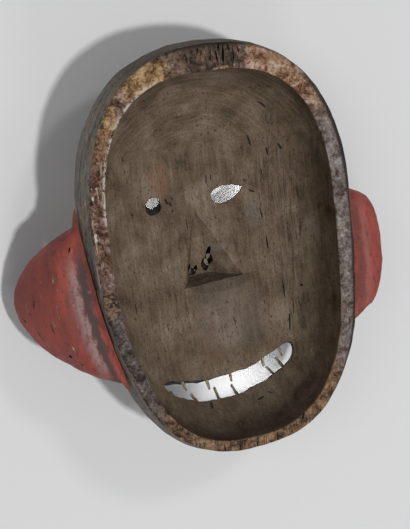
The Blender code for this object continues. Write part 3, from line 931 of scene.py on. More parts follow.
@dataclass(frozen=True)
class ToolMarks:
    """Heights of the shell's tool marks and wear.

    Attributes:
        gouge: strokes along the hollow.
        round_gouge: strokes round under the forehead.
        fibres: torn fibres at the hollow's right.
        fine: fine unevenness of the hollow.
        broad: broad unevenness of the hollow.
        rim_fine: fine unevenness of the rim.
        rim_broad: broad unevenness of the rim.
        rim_wear: how far the rim's inner edge is worn down.
        adze: adze marks on the outside.
        outside: unevenness of the outside.
        grooves: fine grooves round the wall.
    """

    gouge: float = 0.00016
    round_gouge: float = 0.0003
    fibres: float = 0.00028
    fine: float = 0.00013
    broad: float = 0.0008
    rim_fine: float = 0.00032
    rim_broad: float = 0.0003
    rim_wear: float = 0.001
    adze: float = 0.0004
    outside: float = 0.0005
    grooves: float = 0.00022


@dataclass
class MaskShell:
    """The carved shell: hollow, rim, wall and face as one closed surface with its holes.

    Attributes:
        wall: the outside.
        face: what is carved on it.
        hollow: outline of the hollow's edge.
        hollow_depth: its depth.
        hollow_fullness: exponent of its section.
        eyes: the eye holes.
        nose: the pit behind the nose.
        mouth: the mouth's slot.
        recess: the dent in the hollow.
        tools: heights of the marks.
        segments: places round the shell.
        rings: rings on the hollow, rim, rounded edge, wall and dome.
    """

    wall: Wall = field(default_factory=Wall)
    face: Face = field(default_factory=Face)
    hollow: Egg = Egg(0.0879, 0.1093, 0.1621, 2.68, 2.64, 0.0211)
    hollow_depth: float = 0.062
    hollow_fullness: float = 3.0
    eyes: Eyes = field(default_factory=Eyes)
    nose: NosePit = field(default_factory=NosePit)
    mouth: Mouth = field(default_factory=Mouth)
    recess: Recess = field(default_factory=Recess)
    tools: ToolMarks = field(default_factory=ToolMarks)
    segments: int = 400
    rings: tuple[int, int, int, int, int] = (112, 14, 6, 14, 66)

    def base(self) -> tuple[Array, Array]:
        """Smooth places of the whole shell, before its tool marks.

        The hollow is a superellipse given by its polar angle, with dishes at the eyes. The rim
        is a straight run from its edge to the outside, which follows the wall's section.

        Returns:
            Points by ring and place, and each ring's track: -1 to 0 in the hollow, 0 to 1 on
            the rim, and from 1 to 4 on the edge, the wall and the dome.
        """
        angle = np.linspace(0, 2 * math.pi, self.segments, endpoint=False)
        counts = self.rings
        sweep = np.linspace(0, math.pi / 2, counts[0])[:, None]
        power = self.hollow_fullness
        reach = (np.sin(sweep) ** power + np.clip(np.cos(sweep), 0, 1) ** power) ** (1 / power)
        radius = self.hollow.radius(angle) * np.sin(sweep) / reach
        depth = self.hollow_depth * np.clip(np.cos(sweep), 0, 1) / reach * np.ones_like(angle)
        y = self.hollow.line + radius * np.cos(angle)
        x = radius * np.sin(angle) + sway(y)
        inside = np.stack([x, y, RIM_HEIGHT - depth - self.eyes.sinks(*to_face(x, y))], -1)

        shares = [np.linspace(0, 1, count + 1)[1:] for count in counts[2:]]
        zero, one = np.zeros, np.ones
        bend = np.concatenate([[0], shares[0], one(counts[3] + counts[4])])[:, None] * math.pi / 2
        wall = np.concatenate([zero(1 + counts[2]), shares[1], one(counts[4])])[:, None]
        fall = np.concatenate([zero(1 + counts[2] + counts[3]), shares[2]])[:, None] * math.pi / 2
        radius, depth = self.wall.section(self.wall.rim.radius(angle), bend, wall, fall)
        y = self.wall.rim.line + radius * np.cos(angle)
        x = radius * np.sin(angle) + RIM_SHIFT + sway(y)
        relief = self.face.height(*to_face(x, y), self.eyes, self.nose, self.mouth)
        depth = np.minimum(depth + relief * ease(fall * 4), RIM_HEIGHT)
        outside = np.stack([x, y, RIM_HEIGHT - depth], -1)

        across = np.linspace(0, 1, counts[1] + 2)[1:-1][:, None, None]
        rim = inside[-1] * (1 - across) + outside[0] * across
        track = np.concatenate([np.linspace(-1, 0, counts[0]), across[:, 0, 0],
                                1 + (bend[:, 0] * 2 / math.pi + wall[:, 0] + fall[:, 0] * 2 / math.pi)])
        return np.concatenate([inside, rim, outside]), track

    def marks(self, places: Array, track: Array) -> Array:
        """Height of the tool marks and wear along the surface's normal.

        In the hollow the gouge ran from chin to forehead, and round under the forehead. The
        wall across the strokes is unrolled by adding its depth to its distance out. The rim is
        uneven and worn low along its edges, and the outside has short adze marks.

        Args:
            places: smooth points by ring and place.
            track: each ring's track.

        Returns:
            Height at each point.
        """
        x, y, z = places[..., 0], places[..., 1], places[..., 2]
        run = np.broadcast_to(track[:, None], x.shape)
        unrolled = x + 0.7 * np.tanh(x / 0.03) * (z - RIM_HEIGHT + self.hollow_depth)
        lengthwise = gouges(unrolled, y, 0.013, 0.05, 11)
        turn = np.arctan2(x, y - self.hollow.line)
        drop = np.hypot(x, y - self.hollow.line) + 0.7 * (z - RIM_HEIGHT + self.hollow_depth)
        roundwise = gouges(drop, turn * 0.09, 0.0052, 0.026, 21)
        forehead = ease((y - 0.06) / 0.025)
        fibrous = np.exp(-((unrolled - 0.062) / 0.012) ** 2) * ease((0.085 - y) / 0.02)
        fibres = noise(np.stack([unrolled, y], -1), (0.0024, 0.034), 31, 2)
        tools = self.tools
        hollow = tools.gouge * lengthwise * (1 - forehead) + tools.round_gouge * roundwise * forehead
        hollow += (tools.fibres * fibrous * fibres + tools.fine * noise(places, 0.0045, 35, 3)
                   + tools.broad * noise(places, 0.034, 41, 2))
        hollow += self.recess.height(unrolled, y)
        rim = tools.rim_fine * noise(places, 0.0065, 61, 3) + tools.rim_broad * noise(places, 0.02, 63)
        rim -= tools.rim_wear * np.exp(-(run / 0.1) ** 2) * (0.6 + 0.4 * noise(places, 0.012, 65, 2))
        adze = gouges(np.hypot(x, y - self.wall.rim.line), turn * 0.12, 0.01, 0.018, 81)
        grooves = noise(np.stack([turn * 0.12, z], -1), (0.03, 0.0016), 95, 2) * ease((z - 0.06) / 0.006)
        outside = tools.adze * adze + tools.outside * noise(places, 0.02, 91, 3) + tools.grooves * grooves
        height = np.where(run < 0, hollow * ease(-run * 14), np.where(run <= 1, rim, outside))
        return height * ease(np.minimum(1, np.abs(run + 1) * 30))

    def surface(self) -> bpy.types.Mesh:
        """The whole surface with its marks, held off the ground it lies on."""
        places, track = self.base()
        places = places + outward(places) * self.marks(places, track)[..., None]
        places[..., 2] = np.clip(places[..., 2], 0, RIM_HEIGHT)
        return closed_surface("Carved_Shell", places)

    def floor(self, x: Array, y: Array) -> Array:
        """Height of the smooth hollow: 1 less the share out to a power, to that power's root."""
        power = self.hollow_fullness
        share = np.clip(self.hollow.share(x - sway(y), y), 0, 1)
        sinks = self.eyes.sinks(*to_face(x, y))
        return RIM_HEIGHT - self.hollow_depth * (1 - share ** power) ** (1 / power) - sinks

    def flaws(self) -> list[bpy.types.Mesh]:
        """Chips, nicks, cracks and worm holes of the rim and the hollow, as one cutter for each.

        The hollow's slope at a flaw is measured over a small step to both sides.
        """
        step = 0.0008
        cutters = [flaw.cutter(np.array([flaw.x, flaw.y, RIM_HEIGHT]), UP, seed)
                   for seed, flaw in enumerate(RIM_FLAWS)]
        bed = []
        for seed, flaw in enumerate(HOLLOW_FLAWS, start=100):
            x, y = np.array(flaw.x), np.array(flaw.y)
            slope = [(self.floor(x + step, y) - self.floor(x - step, y)) / (2 * step),
                     (self.floor(x, y + step) - self.floor(x, y - step)) / (2 * step)]
            normal = np.array([-slope[0], -slope[1], 1.0]) / math.sqrt(1 + slope[0] ** 2 + slope[1] ** 2)
            bed.append(flaw.cutter(np.array([x, y, self.floor(x, y)]), normal, seed))
        return [join("Rim_Flaws", cutters), join("Hollow_Flaws", bed)]

    def label(self, piece: bpy.types.Object) -> None:
        """Writes each vertex's place on the shell to two attributes for the finish.

        Rim_Reach is the distance outward from the hollow's edge, and Outside is 1 on the wall
        and the face and 0 in the hollow and on the rim, by the way the surface faces.

        Args:
            piece: the finished shell.
        """
        mesh = piece.data
        x, y, z = read_points(mesh).T
        facing = np.zeros(len(mesh.vertices) * 3, np.float32)
        mesh.vertex_normals.foreach_get("vector", facing)
        x = x + MIDDLE - sway(y)
        share = self.hollow.share(x, y)
        radius = self.hollow.radius(np.arctan2(x, y - self.hollow.line))
        sunk = np.clip(RIM_HEIGHT - 0.0014 - z, 0, 0.05) * (share < 1.01)
        beyond = ease((self.wall.rim.share(x - RIM_SHIFT, y) - 0.975) / 0.02)
        beyond = beyond * ease((RIM_HEIGHT - 0.0006 - z) / 0.002)
        under = ease((-0.05 - facing.reshape(-1, 3)[:, 2].astype(float)) / 0.2)
        write_numbers(mesh, {"Rim_Reach": (share - 1) * radius - 0.7 * sunk,
                             "Outside": np.maximum(beyond, under)})

    def build(self, finishes: Sequence[bpy.types.Material]) -> bpy.types.Object:
        """Builds, cuts and dresses the shell.

        Args:
            finishes: materials of the surface, the holes' walls and the chips.

        Returns:
            The finished piece.
        """
        cutters = [self.mouth.cutter(), *self.eyes.cutters(), *self.nose.cutters(), *self.flaws()]
        piece = carve(self.surface(), cutters, finishes, math.radians(38))
        self.label(piece)
        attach(piece, "root")
        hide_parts("Mask_Shell")
        return piece


@dataclass(frozen=True)
class EarForm:
    """What differs between the two ears.

    Attributes:
        side: which ear.
        bottom: its lower tip along Y.
        lobe_top: where the lobe starts.
        lobe_power: slimness of the lobe's upper half, 0.5 being a half ellipse.
        reach: how far it stands out.
        drop: how far it falls away.
        flaws: its holes and nicks, their x and y being shares across and along the ear.
    """

    side: Side
    bottom: float
    lobe_top: float
    lobe_power: float
    reach: float
    drop: float
    flaws: tuple[Flaw, ...]


LEFT_EAR = EarForm(Side.LEFT, -0.094, 0.033, 0.85, 0.0458, 0.0561, flaws_from((
    (0.86, 0.575, 1.1, 1.3, 5.0), (0.9, 0.765, 1.1, 1.2, 5.0), (0.5, 0.752, 1.3, 1.6, 6.0),
    (0.4, 0.795, 1.3, 1.5, 6.0), (0.14, 0.205, 0.8, 2.2, 1.2, 20), (0.3, 0.34, 1.0, 3.4, 0.8, -12, CHIP),
    (0.27, 0.52, 0.8, 5.0, 0.6, -14, CHIP), (0.29, 0.7, 0.7, 4.0, 0.6, -16, CHIP),
    (0.62, 0.47, 0.6, 4.0, 0.6, 30), (0.72, 0.64, 0.5, 4.6, 0.6, -40),
    (0.45, 0.6, 0.5, 5.0, 0.6, -20)), 1))
RIGHT_EAR = EarForm(Side.RIGHT, -0.082, 0.028, 0.65, 0.0474, 0.06, flaws_from((
    (0.86, 0.58, 1.0, 1.2, 5.0), (0.88, 0.72, 1.0, 1.2, 5.0), (0.5, 0.76, 1.2, 1.4, 6.0),
    (0.62, 0.42, 0.7, 3.0, 0.7, 25), (0.74, 0.5, 0.5, 4.0, 0.6, -20),
    (0.27, 0.5, 0.8, 5.0, 0.6, 14, CHIP)), 1))


@dataclass
class Ear:
    """One ear: a half-round plate that hangs from the wall, ridged at its root and bowled.

    Attributes:
        form: its own sizes.
        wall: the shell's outside, which its root follows.
        top: its upper tip along Y.
        lobe_end: how far above the lower tip the lobe ends.
        lower_power: slimness of the lobe's lower half.
        root_share: width of the narrow root, as a share of the reach.
        seat_depth: depth of the root under the rim.
        seat_drop: how much deeper it lies at its top.
        seat_middle: where along Y it lies highest.
        thickness: the plate's thickness.
        camber: how far it is bowed.
        root: how far it runs into the wall before it is cut to it.
        gap: width of the gap that the cut leaves.
        ridge: place, half width and height of the ridge, along the share and the fixed distance.
        trough: the same of the trough behind it.
        bowl: the same of the front's bowl.
        unevenness: heights of the fine, the broad and the fibrous unevenness.
        rings: sections along it.
        segments: places round a section.
    """

    form: EarForm
    wall: Wall = field(default_factory=Wall)
    top: float = 0.048
    lobe_end: float = 0.01
    lower_power: float = 0.65
    root_share: float = 0.16
    seat_depth: float = 0.0055
    seat_drop: float = 0.0173
    seat_middle: float = -0.045
    thickness: float = 0.015
    camber: float = 0.0095
    root: float = 0.012
    gap: float = 0.0012
    ridge: tuple[Point, Point] = ((0.24, 0.26, 0.0026), (0.26, 0.09, 0.0015))
    trough: tuple[Point, Point] = ((0.03, 0.12, 0.004), (0.13, 0.08, 0.0012))
    bowl: Point = (0.55, 0.36, 0.0045)
    unevenness: Point = (0.00035, 0.0006, 0.00016)
    rings: int = 220
    segments: int = 180

    def width(self, y: Array) -> Array:
        """Width as a share of the reach at places along Y.

        A lobe, 1 less the share squared to a power, or the narrow root where that is wider, by
        the root of the sum of their squares.

        Args:
            y: places along.

        Returns:
            The shares.
        """
        low = self.form.bottom + self.lobe_end
        middle, half = (self.form.lobe_top + low) / 2, (self.form.lobe_top - low) / 2
        power = np.where(y > middle, self.form.lobe_power, self.lower_power)
        lobe = np.clip(1 - ((y - middle) / half) ** 2, 0, 1) ** power
        along = (self.top - y) / (self.top - self.form.bottom)
        return np.hypot(lobe, self.root_share * np.clip(1 - np.abs(2 * along - 1) ** 3, 0, 1))

    def surface(self) -> tuple[bpy.types.Mesh, bpy.types.Mesh]:
        """The plate as rings of sections that each run from the wall out along a falling chord.

        Its half thickness is a power of the sine round the section. The back adds a ridge near
        the wall, sharpened by wear, and a trough behind it. The front is bowled, and a sine
        gives it camber.

        Returns:
            The closed mesh, and the cutters of its holes and nicks.
        """
        angle = np.linspace(0, 2 * math.pi, self.segments, endpoint=False)
        even = np.linspace(0, 1, self.rings)[:, None]
        along = even + 0.35 * (0.5 - 0.5 * np.cos(even * math.pi) - even)
        y = self.top + (self.form.bottom - self.top) * along
        width = self.width(y)
        tip = np.sqrt(np.clip(np.sin(along * math.pi), 0, 1))
        slope = math.atan2(self.form.drop, self.form.reach)
        length = math.hypot(self.form.drop, self.form.reach) * width
        root = self.root * tip
        span = (1 - np.cos(angle)) / 2 * (length + root) - root
        share = np.clip(span / np.maximum(length, 0.0003), 0, 1)
        half = self.thickness / 2 * np.abs(np.sin(angle)) ** 0.6 * (1 - 0.3 * share)
        fixed = np.clip(span, 0, None) / math.hypot(self.form.drop, self.form.reach)
        ridge = fold(share, *self.ridge[0]) + fold(fixed, *self.ridge[1])
        trough = fold(share, *self.trough[0]) + fold(fixed, *self.trough[1])
        bowl = fold(share, *self.bowl)
        lift = np.where(np.sin(angle) > 0, half + ridge - trough, bowl - half)
        body = 0.1 + 0.9 * np.clip(width / 0.5, 0, 1)
        height = (self.camber * np.sin(math.pi * share ** 0.75) + lift) * body * tip
        out = self.wall.rim.half_width_at(y) + self.wall.swell
        out = out + span * math.cos(slope) + height * math.sin(slope)
        away = (y - self.seat_middle) / (self.top - self.seat_middle)
        seat = self.seat_depth + self.seat_drop * away ** 2
        fall = seat + span * math.sin(slope) + (self.thickness / 2 - height) * math.cos(slope)
        x = out * self.form.side.value + RIM_SHIFT + sway(y)
        rings = np.stack([x, np.broadcast_to(y, out.shape), RIM_HEIGHT - fall], -1)
        if self.form.side is Side.RIGHT:
            rings, share, angle = rings[:, ::-1], share[:, ::-1], angle[::-1]
        fine, broad, fibrous = self.unevenness
        marks = (fine * noise(rings, 0.01, 101, 3) + broad * noise(rings, 0.035, 111)
                 + fibrous * noise(rings, (0.0022, 0.014, 0.006), 121, 2))
        normals = outward(rings)
        rings = rings + normals * (marks * ease(np.sin(even * math.pi) * 6))[..., None]
        cutters = []
        for seed, flaw in enumerate(self.form.flaws, start=200):
            ring = int(np.argmin(np.abs(along[:, 0] - flaw.y)))
            place = int(np.argmin(np.abs(share[ring] - flaw.x) + 9 * (np.sin(angle) < 0.05)))
            cutters.append(flaw.cutter(rings[ring, place], normals[ring, place], seed))
        name = self.form.side.name.title()
        return closed_surface(f"Carved_Ear_{name}", rings), join(f"Ear_Flaws_{name}", cutters)

    def label(self, piece: bpy.types.Object) -> None:
        """Writes each vertex's place across and along the ear to two attributes for the finish.

        Across is the distance from the wall over the ear's reach, and Along the share of its
        length from the top.

        Args:
            piece: the finished ear.
        """
        x, y, _ = read_points(piece.data).T
        out = (x + MIDDLE - RIM_SHIFT - sway(y)) * self.form.side.value
        across = (out - self.wall.rim.half_width_at(y) - self.wall.swell) / self.form.reach
        along = (self.top - y) / (self.top - self.form.bottom)
        write_numbers(piece.data, {"Across": np.clip(across, -0.5, 1.5), "Along": along})

    def seat(self) -> bpy.types.Mesh:
        """The shell's wall closed on top and grown by the gap, which the root is cut to."""
        angle = np.linspace(0, 2 * math.pi, 240, endpoint=False)
        outer = self.wall.rim.radius(angle) + self.gap
        wall = np.linspace(0, 1, 9)[:, None]
        fall = np.linspace(0, 1, 31)[1:, None] * math.pi / 2
        wall = np.concatenate([wall, np.ones_like(fall)])
        fall = np.concatenate([np.zeros((9, 1)), fall])
        radius, depth = self.wall.section(outer, np.full_like(wall, math.pi / 2), wall, fall)
        radius = np.concatenate([np.zeros_like(radius[:1]), radius[:1], radius])
        depth = np.concatenate([[[-0.001], [-0.001]], depth]) * np.ones_like(angle)
        y = self.wall.rim.line + radius * np.cos(angle)
        x = radius * np.sin(angle) + RIM_SHIFT + sway(y)
        rings = np.stack([x, y, RIM_HEIGHT - depth], -1)
        return set_zone(closed_surface("Ear_Seat", rings), Zone.HOLE)

    def build(self, finishes: Sequence[bpy.types.Material]) -> bpy.types.Object:
        """Builds, cuts and dresses the ear.

        Args:
            finishes: materials of the surface, the holes' walls and the chips.

        Returns:
            The finished piece.
        """
        surface, flaws = self.surface()
        piece = carve(surface, [self.seat(), flaws], finishes, math.radians(40))
        self.label(piece)
        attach(piece, "root")
        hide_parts(f"Ear_{self.form.side.name.title()}")
        return piece


@dataclass(frozen=True)
class Tooth:
    """One peg tooth.

    Attributes:
        row: which edge of the mouth it leaves.
        number: its number from the left.
        place: its place along the mouth.
        length: how far it shows.
        slant: its slant along the mouth.
        radius: its radius at the root.
        tip: its radius at the tip.
        seat: how far it runs into the wood.
        depth: how far under the rim it leaves the edge.
        slope: how far it points up out of the mouth's plane.
        shares: share of its length that is its body, and its rounded cap.
    """

    row: Row
    number: int
    place: float
    length: float
    slant: float
    radius: float = 0.0013
    tip: float = 0.001
    seat: float = 0.004
    depth: float = 0.053
    slope: float = math.radians(20)
    shares: tuple[float, float] = (0.93, 0.07)

    def axis(self, mouth: Mouth) -> tuple[Array, Array]:
        """Where the tooth leaves the mouth's edge, and its way, in the mask's axes.

        Args:
            mouth: the slot that it stands in.

        Returns:
            A point and a unit vector.
        """
        side = self.row.value
        edge = mouth.middle(self.place) + side * mouth.half_height_at(self.place)
        x, y = mouth.spread(self.place, edge, self.depth)
        way = Vector((-math.sin(self.slant) * (1 if side < 0 else -1), -side * math.cos(self.slant), 0))
        way = Matrix.Rotation(FACE_LEAN, 3, "Z") @ Matrix.Rotation(-self.slope, 3, "X") @ way
        x, y = from_face(x, y)
        return np.array([x, y, RIM_HEIGHT - self.depth]), np.array(way.normalized())

    def surface(self, mouth: Mouth) -> bpy.types.Mesh:
        """Whittled peg: its radius narrows evenly and closes over a blunt tip.

        A little noise round it leaves flats and knots, and a low arc bends it.

        Args:
            mouth: the slot that it stands in.

        Returns:
            The closed mesh.
        """
        start, way = self.axis(mouth)
        length = self.seat + self.length
        body, cap = self.shares
        share = np.concatenate([[0], np.linspace(0, body, 16), body + cap * np.sin([0.5, 1.0, math.pi / 2])])
        radius = self.radius + (self.tip - self.radius) * share
        radius[0] = 0
        radius[-3:] *= [0.85, 0.5, 0]
        turn = np.linspace(0, 2 * math.pi, 14, endpoint=False)
        side = np.array(Vector(way).orthogonal().normalized())
        up = np.cross(way, side)
        rim = np.cos(turn)[:, None] * side + np.sin(turn)[:, None] * up
        middle = start + way * (share * length - self.seat)[:, None]
        middle += side * (0.0003 * np.sin(share * 3 + self.number))[:, None]
        seed = self.number + 20 * (self.row is Row.UPPER)
        places = np.stack(np.broadcast_arrays(np.cos(turn), np.sin(turn), share[:, None] * 4), -1)
        wear = 1 + 0.16 * noise(places, 0.8, seed, 2)
        rings = middle[:, None] + rim * (radius[:, None] * wear)[..., None]
        return closed_surface(f"Whittled_{self.row.name.title()}_Tooth_{self.number}", rings)

    def build(self, mouth: Mouth, finish: bpy.types.Material) -> bpy.types.Object:
        """Builds and dresses the tooth.

        Args:
            mouth: the slot that it stands in.
            finish: its material.

        Returns:
            The finished piece.
        """
        piece = carve(self.surface(mouth), [], [finish], math.radians(50))
        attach(piece, "root")
        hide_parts(f"{self.row.name.title()}_Tooth_{self.number}")
        return piece


UPPER_TEETH = ((-0.035, 0.0075, 0.12), (-0.0165, 0.008, 0.0), (0.0025, 0.0058, -0.03),
               (0.0298, 0.0058, 0.0), (0.045, 0.0078, 0.15))
LOWER_TEETH = ((-0.0425, 0.0088, 0.27), (-0.0265, 0.0088, 0.35), (-0.009, 0.0105, 0.13),
               (0.0058, 0.009, 0.36), (0.0375, 0.0088, 0.6), (0.0455, 0.01, 0.38))


class Value:
    """A number that varies over a surface. Operators on it add Math nodes to its shader."""

    def __init__(self, shader: "Shader", socket: bpy.types.NodeSocket) -> None:
        """Wraps a socket of a shader."""
        self.shader = shader
        self.socket = socket

    def math(self, operation: str, *others: "Value | float") -> "Value":
        """Adds a Math node.

        Args:
            operation: the node's operation.
            others: its second and third input.

        Returns:
            The node's result.
        """
        inputs = dict(enumerate((self, *others)))
        return self.shader.value("ShaderNodeMath", {"operation": operation}, inputs)

    def __add__(self, other: "Value | float") -> "Value":
        """Sum."""
        return self.math("ADD", other)

    def __mul__(self, other: "Value | float") -> "Value":
        """Product."""
        return self.math("MULTIPLY", other)

    def __sub__(self, other: "Value | float") -> "Value":
        """Difference."""
        return self.math("SUBTRACT", other)

    def __rsub__(self, other: float) -> "Value":
        """A number less this one: this one times -1, plus the number."""
        return self.math("MULTIPLY_ADD", -1.0, other)

    def __truediv__(self, other: "Value | float") -> "Value":
        """Quotient."""
        return self.math("DIVIDE", other)

    def __pow__(self, power: float) -> "Value":
        """Power."""
        return self.math("POWER", power)

    __radd__ = __add__
    __rmul__ = __mul__

    def most(self, other: "Value | float") -> "Value":
        """The larger of two."""
        return self.math("MAXIMUM", other)

    def step(self, low: float, high: float) -> "Value":
        """Smooth step from 0 at low to 1 at high, or down where low is the larger.

        Args:
            low: value that gives 0.
            high: value that gives 1.

        Returns:
            A share from 0 to 1.
        """
        sockets = {"Value": self, "From Min": low, "From Max": high}
        return self.shader.value("ShaderNodeMapRange", {"interpolation_type": "SMOOTHSTEP"}, sockets)


class Shader:
    """A material's node tree, with one method that adds any node."""

    def __init__(self, name: str) -> None:
        """Starts a material with a Principled shader that reads Object coordinates."""
        self.material = bpy.data.materials.new(name)
        self.material.use_nodes = True
        self.tree = self.material.node_tree
        self.surface = self.tree.nodes["Principled BSDF"]
        middle = {"Vector": self.node("ShaderNodeTexCoord").outputs["Object"], "Location": (MIDDLE, 0, 0)}
        self.place = self.node("ShaderNodeMapping", sockets=middle).outputs[0]

    def set(self, node: bpy.types.Node, sockets: dict[str | int, Any]) -> None:
        """Gives a node's inputs their values or links.

        Args:
            node: the node.
            sockets: a value, a Value or a socket for each input, by name or number.
        """
        for key, value in sockets.items():
            value = value.socket if isinstance(value, Value) else value
            if isinstance(value, bpy.types.NodeSocket):
                self.tree.links.new(value, node.inputs[key])
            else:
                node.inputs[key].default_value = value

    def node(self, kind: str, settings: dict[str, Any] | None = None,
             sockets: dict[str | int, Any] | None = None) -> bpy.types.Node:
        """Adds a node.

        Args:
            kind: its type.
            settings: its properties, and a ramp's stops as (place, colour) pairs.
            sockets: its inputs' values or links.

        Returns:
            The node.
        """
        node = self.tree.nodes.new(kind)
        for key, value in (settings or {}).items():
            if key == "stops":
                self.set_stops(node.color_ramp, value)
            else:
                setattr(node, key, value)
        self.set(node, sockets or {})
        return node

    @staticmethod
    def set_stops(ramp: bpy.types.ColorRamp, stops: Sequence[tuple[float, Color]]) -> None:
        """Gives a colour ramp its stops, the first two of which are there from the start."""
        while len(ramp.elements) < len(stops):
            ramp.elements.new(1.0)
        for element, (place, color) in zip(ramp.elements, stops):
            element.position = place
            element.color = (*color, 1)

    def value(self, kind: str, settings: dict[str, Any] | None = None,
              sockets: dict[str | int, Any] | None = None) -> Value:
        """Adds a node and wraps its first output."""
        return Value(self, self.node(kind, settings, sockets).outputs[0])

    def axes(self) -> tuple[Value, Value, Value]:
        """The place's three coordinates."""
        parts = self.node("ShaderNodeSeparateXYZ", sockets={0: self.place}).outputs
        return Value(self, parts[0]), Value(self, parts[1]), Value(self, parts[2])

    def attribute(self, name: str) -> Value:
        """A number that the piece's vertices carry."""
        return Value(self, self.node("ShaderNodeAttribute", {"attribute_name": name}).outputs["Fac"])

    def grain(self, size: Point | float, detail: float = 3.0, roughness: float = 0.55,
              shift: float = 0.0, distortion: float = 0.0, at: Any = None) -> Value:
        """Noise over the place, from 0 to 1 about 0.5.

        Args:
            size: size of its blotches along X, Y and Z, or one size for all.
            detail: octaves.
            roughness: strength of the finer octaves.
            shift: moves the pattern, to get another one.
            distortion: how far it is swirled.
            at: coordinates to read instead of the place.

        Returns:
            The noise.
        """
        sizes = (size,) * 3 if isinstance(size, float) else size
        scale = tuple(1 / s for s in sizes)
        moved = (shift, shift * 1.7, shift * 0.6)
        mapping = self.node("ShaderNodeMapping", None,
                            {"Vector": at or self.place, "Scale": scale, "Location": moved})
        return self.value("ShaderNodeTexNoise", None, {
            "Vector": mapping.outputs[0], "Scale": 1.0, "Detail": detail, "Roughness": roughness,
            "Distortion": distortion})

    def round_place(self, line: float) -> bpy.types.NodeSocket:
        """Coordinates that run outward from the point (0, line) and round it.

        The first is the distance on the plan, by Pythagoras, and the second the angle from
        the X axis, as a length on a circle of 0.1 m.

        Args:
            line: the point's place along Y.

        Returns:
            The coordinates.
        """
        x, y, z = self.axes()
        rise = y - line
        out = (x ** 2.0 + rise ** 2.0) ** 0.5
        turn = rise.math("ARCTAN2", x) * 0.1
        return self.node("ShaderNodeCombineXYZ", sockets={0: out, 1: turn, 2: z}).outputs[0]

    def spot(self, place: Sequence[float], size: Sequence[float], fray: "Value | float" = 0.0) -> Value:
        """Soft ellipse on the plan: 1 less the squared distance in half sizes, made a step.

        Args:
            place: its middle along X and Y.
            size: its half sizes.
            fray: makes its edge uneven where it varies.

        Returns:
            1 inside, 0 outside.
        """
        x, y, _ = self.axes()
        far = ((x - place[0]) / size[0]) ** 2.0 + ((y - place[1]) / size[1]) ** 2.0
        return (far + fray).step(1.3, 0.6)

    def ramp(self, share: Value, stops: Sequence[tuple[float, Color]]) -> bpy.types.NodeSocket:
        """Colour from a ramp."""
        return self.node("ShaderNodeValToRGB", {"stops": stops}, {0: share}).outputs[0]

    def mix(self, share: Value, low: Any, high: Any) -> bpy.types.NodeSocket:
        """Mixes two colours.

        Args:
            share: 0 gives the first and 1 the second.
            low: first colour, a tuple or a socket.
            high: second colour.

        Returns:
            The mixed colour.
        """
        low, high = ((*c, 1) if isinstance(c, tuple) else c for c in (low, high))
        return self.node("ShaderNodeMix", {"data_type": "RGBA"}, {0: share, 6: low, 7: high}).outputs[2]

    def finish(self, color: Any, roughness: Any, height: Value | None = None,
               depth: float = 0.0004, **plain: float) -> bpy.types.Material:
        """Sets the surface's inputs.

        Args:
            color: base colour.
            roughness: a value or a number.
            height: relief from 0 to 1, for a Bump node.
            depth: what 1 in that relief measures.
            plain: other inputs' numbers, with _ for a space.

        Returns:
            The material.
        """
        color = (*color, 1) if isinstance(color, tuple) else color
        self.set(self.surface, {"Base Color": color, "Roughness": roughness})
        self.set(self.surface, {key.replace("_", " "): value for key, value in plain.items()})
        if height is not None:
            relief = {"Strength": 1.0, "Distance": depth, "Height": height}
            bump_node = self.node("ShaderNodeBump", None, relief)
            self.set(self.surface, {"Normal": bump_node.outputs[0]})
        return self.material


